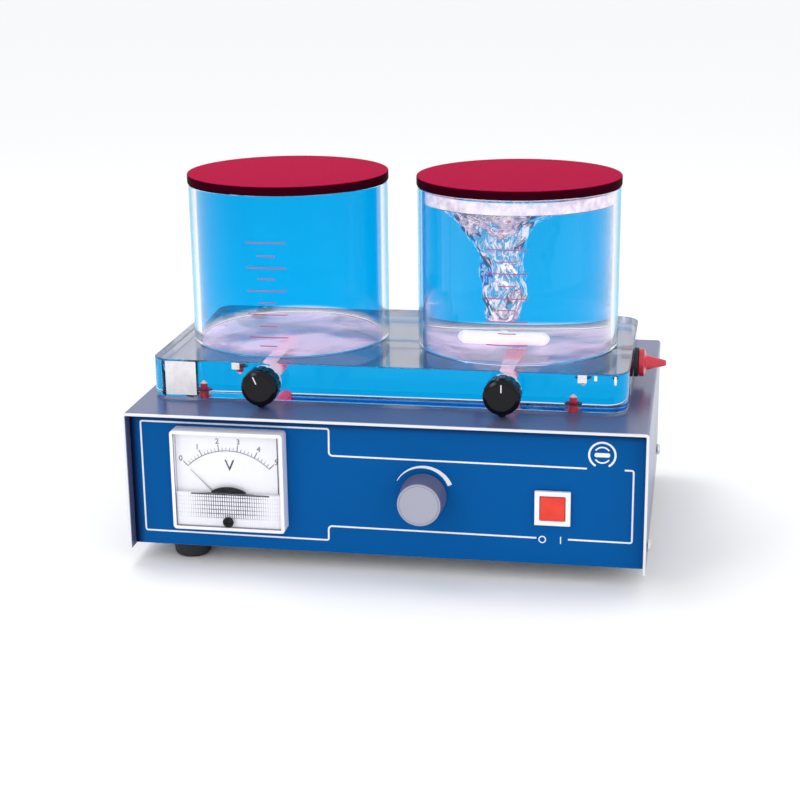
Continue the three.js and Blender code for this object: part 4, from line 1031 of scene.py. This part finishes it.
cup_acrylic = {
    side: clear_plastic(f"cup_acrylic_{side}", 1.28, rear_half(cup_x[side], slant), BLUE_GLINT)
    for side, slant in (("left", 0.23), ("right", 0.11))}
pale_band_glow = thin_film("pale_band_glow", (160.0, 6.0), (0.86, 0.78, 0.90), (1.0, 0.97, 1.0),
                       0.3, 0.22, (0.35, 0.65), (0.55, 0.15))
floor_glow_film = thin_film("floor_glow_film", (26.0, 4.0, 0.4), (0.90, 0.55, 0.86), (1.0, 0.92, 1.0),
                        0.5, 0.50, (0.40, 0.60), (0.92, 0.62))
grad_ink = ink("graduation_ink", (0.50, 0.045, 0.20), 0.45)
cup_low, cup_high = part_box("cup_left")
CUP_OUTER, CUP_INNER = 0.058, 0.054
tall = cup_high.z - cup_low.z
RULES = {
    "left": ((0.0891, 23), (0.0817, 10), (0.0749, 23), (0.0686, 10), (0.0618, 23), (0.0549, 10),
             (0.0482, 23), (0.0415, 10), (0.0350, 23), (0.0300, 10)),
    "right": ((0.0884, 23), (0.0818, 10), (0.0751, 23), (0.0682, 10), (0.0612, 23), (0.0547, 10),
              (0.0482, 23), (0.0415, 10), (0.0350, 23)),
}
for side in ("left", "right"):
    tube = turn(f"cup_tube_{side}", eased([
        (CUP_INNER, 0), (CUP_OUTER, 0), (CUP_OUTER, tall), (CUP_INNER, tall), (CUP_INNER, 0)],
        0.0005), (cup_x[side], channel_y, cup_low.z), UP, steps=160)
    fit(tube, cup_acrylic[side], "clear_acrylic", "mixer", f"cup_{side}")
    # A thin pink film over each cup's floor glows: painted light that brightens the floor.
    haze = turn(f"floor_haze_{side}", [
        (0, 0), (CUP_INNER - 0.0005, 0), (CUP_INNER - 0.0005, 0.00008), (0, 0.00008)],
        (cup_x[side], channel_y, block_high.z + 0.00005), UP, steps=96)
    fit(haze, floor_glow_film, "clear_acrylic", "mixer")
    if side == "right":
        # Just above the liquid a thin whitish ring inside the wall glows: a painted highlight of
        # the clear wall there.
        band_inner, band_outer = CUP_INNER - 0.0002, CUP_INNER - 0.0001
        band_low, band_high = 0.1966, 0.2034
        pale_band = turn("pale_band_film", [
            (band_inner, band_low), (band_outer, band_low), (band_outer, band_high),
            (band_inner, band_high), (band_inner, band_low)],
            (cup_x[side], channel_y, 0), UP, steps=160)
        fit(pale_band, pale_band_glow, "clear_acrylic", "mixer")
    rules = []
    radius, steps, half_line = CUP_OUTER + 0.00005, 10, 0.00028
    for i, (above, wide) in enumerate(RULES[side]):
        spread = math.degrees(wide / 2000 / (CUP_OUTER + 0.0001))
        z = case_top + above - half_line
        outline = []
        for k in range(steps + 1):
            angle = math.radians(-spread + 2 * spread * k / steps)
            outline.append((radius * math.sin(angle), -radius * math.cos(angle), z))
        rule = start_point(f"rule_{side}_{i}", outline[0])
        draw_to(outline[0], outline[1:])
        bpy.ops.mesh.select_all(action="SELECT")
        bpy.ops.mesh.extrude_region_move(
            TRANSFORM_OT_translate={"value": (0, 0, 2 * half_line)})
        bpy.ops.object.mode_set(mode="OBJECT")
        rule.data.transform(Matrix.Translation((cup_x[side], channel_y, 0)))
        hold(rule)
        coat = rule.modifiers.new("coat", "SOLIDIFY")
        coat.thickness, coat.offset = 0.00005, 0
        bpy.ops.object.modifier_apply(modifier="coat")
        rules.append(rule)
    scale = join_all(f"graduations_{side}", rules)
    fit(scale, grad_ink, "red_plastic", "mixer")


# Each lid is a disc of polished crimson acrylic with a shallow step that drops inside the rim.
lid_crimson, shader, place = blank_finish("lid_crimson")
normal = add_node(lid_crimson, "ShaderNodeNewGeometry").outputs["Normal"]
top_face = ramp(lid_crimson, along(lid_crimson, normal, "Z"), 0.3, 0.8)
dust = noise(lid_crimson, place, 700.0, 4.0)
lid_top = blend(lid_crimson, dust, (0.35, 0.002, 0.038), (0.41, 0.004, 0.050))
feed(lid_crimson, shader, {
    # The sides and underside are painted near black, painted shade; only faces that look up keep
    # the crimson.
    "Base Color": blend(lid_crimson, top_face, (0.030, 0.001, 0.006), lid_top),
    "Roughness": ramp(lid_crimson, dust, start=0.30, end=0.45), "IOR": 1.02})
for side in ("left", "right"):
    low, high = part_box(f"lid_{side}")
    thick = high.z - low.z
    cap = turn(f"lid_disc_{side}", eased([
        (0, 0), (0.0535, 0), (0.0535, 0.0015), (0.0585, 0.0015), (0.0585, thick),
        (0, thick)], 0.0006),
        (cup_x[side], channel_y, low.z), UP, steps=160)
    fit(cap, lid_crimson, "lid_red", f"lid_{side}", f"lid_{side}")


# The stir bar is a magnet in a smooth white coat, with round ends and a ring round its middle.
bar_coat = moulded("bar_coat", (0.98, 0.98, 0.98), 0.25, grain=200.0, coat=0.2, mottle=0.02)
# The coat glows a little: painted light.
feed(bar_coat, bar_coat.node_tree.nodes["Principled BSDF"], {
    "Emission Color": (1.0, 1.0, 1.0, 1), "Emission Strength": 0.35})
bar_low, bar_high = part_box("stir_bar")
bar_mid = (bar_low + bar_high) / 2
bar_radius = 0.004
straight = (bar_high.x - bar_low.x) / 2 - bar_radius
end_curve = [(bar_radius * math.sin(math.radians(a)), bar_radius * math.cos(math.radians(a)))
             for a in range(0, 91, 10)]
ring_half = [(bar_radius, 0.0022), (0.0043, 0.0016), (0.0046, 0.0009)]
bar_profile = ([(r, -straight - h) for r, h in end_curve]
               + [(r, -h) for r, h in ring_half] + ring_half[::-1]
               + [(r, straight + h) for r, h in reversed(end_curve)])
bar = turn("coated_bar", bar_profile, bar_mid, RIGHT, steps=64)
fit(bar, bar_coat, "white_plastic", "stir_bar", "stir_bar")


# The right cup is nearly full and is being stirred, so the liquid has a deep ragged vortex with
# air drawn into it, right down to the bar.
liquid_clear = clear_plastic(
    "liquid", 1.33, lambda finish, place: (0.96, 0.985, 1.0, 1), (0.35, 0.80, 1.0, 1), 0.0)
froth, shader, place = blank_finish("froth")
feed(froth, shader, {"Transmission Weight": 1.0, "IOR": 1.33, "Roughness": 0.02})
streak = add_node(froth, "ShaderNodeMapping", {"Vector": place, "Scale": (1.0, 1.0, 0.35)})
foam = noise(froth, streak.outputs["Vector"], 260.0, 6.0, 1.5)
# The white foam glows a little: painted light.
foam_white = add_node(froth, "ShaderNodeBsdfPrincipled", {
    "Base Color": (1.0, 0.93, 0.97, 1), "Roughness": 0.35,
    "Emission Color": (1.0, 0.94, 0.98, 1), "Emission Strength": 0.4})
lay_over(froth, ramp(froth, foam, 0.51, 0.62, 0.04, 0.95),
         shader.outputs["BSDF"], foam_white.outputs["BSDF"])
floor_z, surface_z = cup_low.z + 0.0001, 0.1962
vortex = [
    (0, 0.1275), (0.0048, 0.1280), (0.0066, 0.1295), (0.0074, 0.1330), (0.0082, 0.1380),
    (0.0090, 0.1440), (0.0098, 0.1500), (0.0095, 0.1540), (0.0090, 0.1590), (0.0092, 0.1640),
    (0.0100, 0.1690), (0.0114, 0.1740), (0.0134, 0.1790), (0.0162, 0.1835), (0.0196, 0.1872),
    (0.0232, 0.1900), (0.0268, 0.1925), (0.0320, 0.1946), (0.0390, 0.1956), (0.0470, 0.1960),
    (0.0535, surface_z), (0.0538, surface_z), (0.0538, floor_z), (0, floor_z)]
axis = Vector((cup_x["right"], channel_y, 0))
liquid = turn("stirred_liquid", vortex, axis, UP, steps=160)
hold(liquid)
bpy.ops.object.mode_set(mode="EDIT")
bpy.ops.mesh.select_mode(type="FACE")
faces_where(liquid, lambda c, n: (Vector((c.x, c.y)) - axis.xy).length < 0.024 and 0.1276 < c.z)
bpy.ops.mesh.subdivide(number_cuts=1)
bpy.ops.object.mode_set(mode="OBJECT")
for point in liquid.data.vertices:
    out = point.co.xy - axis.xy
    r = out.length
    if point.co.z < 0.1274 or r > 0.050:
        continue
    lean_in = 1 - max(0, min(1, (r - 0.022) / 0.027))
    point.co.x += (bar_mid.x - 0.0012 - axis.x) * lean_in * lean_in * (3 - 2 * lean_in)
    if 0.0005 < r < 0.026 and point.co.z > 0.1277:
        a = math.atan2(out.y, out.x)
        z = point.co.z - 0.1275
        grow = min(1, r / 0.008) * (1 - max(0, (r - 0.020) / 0.006))
        wave = (0.090 * math.sin(3 * a + z * 190) + 0.055 * math.sin(5 * a - z * 310 + 1.3)
                + 0.045 * math.sin(2 * a + z * 420 + 0.6) + 0.035 * math.sin(9 * a + z * 640))
        sway = Vector((0.0016 * math.sin(z * 95), 0.0010 * math.cos(z * 120)))
        drift = sway * min(1, z / 0.02) * grow
        new = out * (1 + wave * grow) + drift
        point.co.x += new.x - out.x
        point.co.y = axis.y + new.y
true_normals(liquid, 60)
fit(liquid, liquid_clear, "clear_acrylic", "mixer")
liquid.data.materials.append(bore_film)
liquid.data.materials.append(froth)
for face in liquid.data.polygons:
    if face.normal.z < -0.9 and face.center.z < floor_z + 0.0005:
        face.material_index = 1
    elif (face.center.xy - axis.xy).length < 0.036 and floor_z + 0.001 < face.center.z < 0.1932:
        face.material_index = 2


# At the rear are a standard appliance inlet, three blades deep in a black shell, and a fuse
# holder with a slotted cap.
for node, name, finish, slot, body, ease in (
        ("mains_inlet", "appliance_inlet", black_moulding, "black_plastic", "case", 0.0004),
        ("fuse_holder", "fuse_socket", black_moulding, "black_plastic", "case", 0.0003),
        ("fuse_cap", "fuse_screw_cap", black_moulding, "black_plastic", "fuse_cap", 0.0003)):
    fit(ease_edges(copy_of(node, name), ease), finish, slot, body, node)


# Inside the case the motor hangs under an aluminium bridge and turns two ferrite magnets under
# the right cup. The transformer and the speed board stand on the zinc plated tray.
soft_steel = worn_metal("soft_steel", (0.62, 0.63, 0.66), 0.35, streak=(1, 8, 8), grain=90.0)
cast_aluminium = worn_metal(
    "cast_aluminium", (0.78, 0.78, 0.80), 0.38, streak=(1, 6, 1), grain=160.0)
ferrite = moulded("ferrite", (0.030, 0.030, 0.034), 0.55, grain=1500.0, bump=0.3)
copper_wire = worn_metal("copper_wire", (0.65, 0.28, 0.10), 0.30, streak=(1, 1, 60), grain=40.0)
board_lacquer = moulded("board_lacquer", (0.020, 0.16, 0.055), 0.40, grain=300.0, coat=0.3)
for node, name, finish, slot, body in (
        ("base_tray", "tray", soft_steel, "steel", "case"),
        ("motor", "motor_can", soft_steel, "steel", "case"),
        ("motor_bracket", "motor_bridge", cast_aluminium, "aluminium", "case"),
        ("transformer_core", "core_stack", soft_steel, "steel", "case"),
        ("transformer_winding", "coil_winding", copper_wire, "winding_copper", "case"),
        ("circuit_board", "speed_board", board_lacquer, "board_green", "case"),
        ("potentiometer", "speed_pot", zinc_plate, "steel", "case"),
        ("potentiometer_nut", "pot_nut", zinc_plate, "steel", "case"),
        ("speed_shaft", "pot_shaft", zinc_plate, "steel", "speed_control"),
        ("motor_shaft", "drive_shaft", zinc_plate, "steel", "magnet_rotor"),
        ("magnet_carrier", "magnet_plate", cast_aluminium, "aluminium", "magnet_rotor"),
        ("drive_magnet_left", "ferrite_left", ferrite, "magnet", "magnet_rotor"),
        ("drive_magnet_right", "ferrite_right", ferrite, "magnet", "magnet_rotor")):
    fit(ease_edges(copy_of(node, name), 0.00025), finish, slot, body, node)

bpy.context.view_layer.update()
low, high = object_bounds()
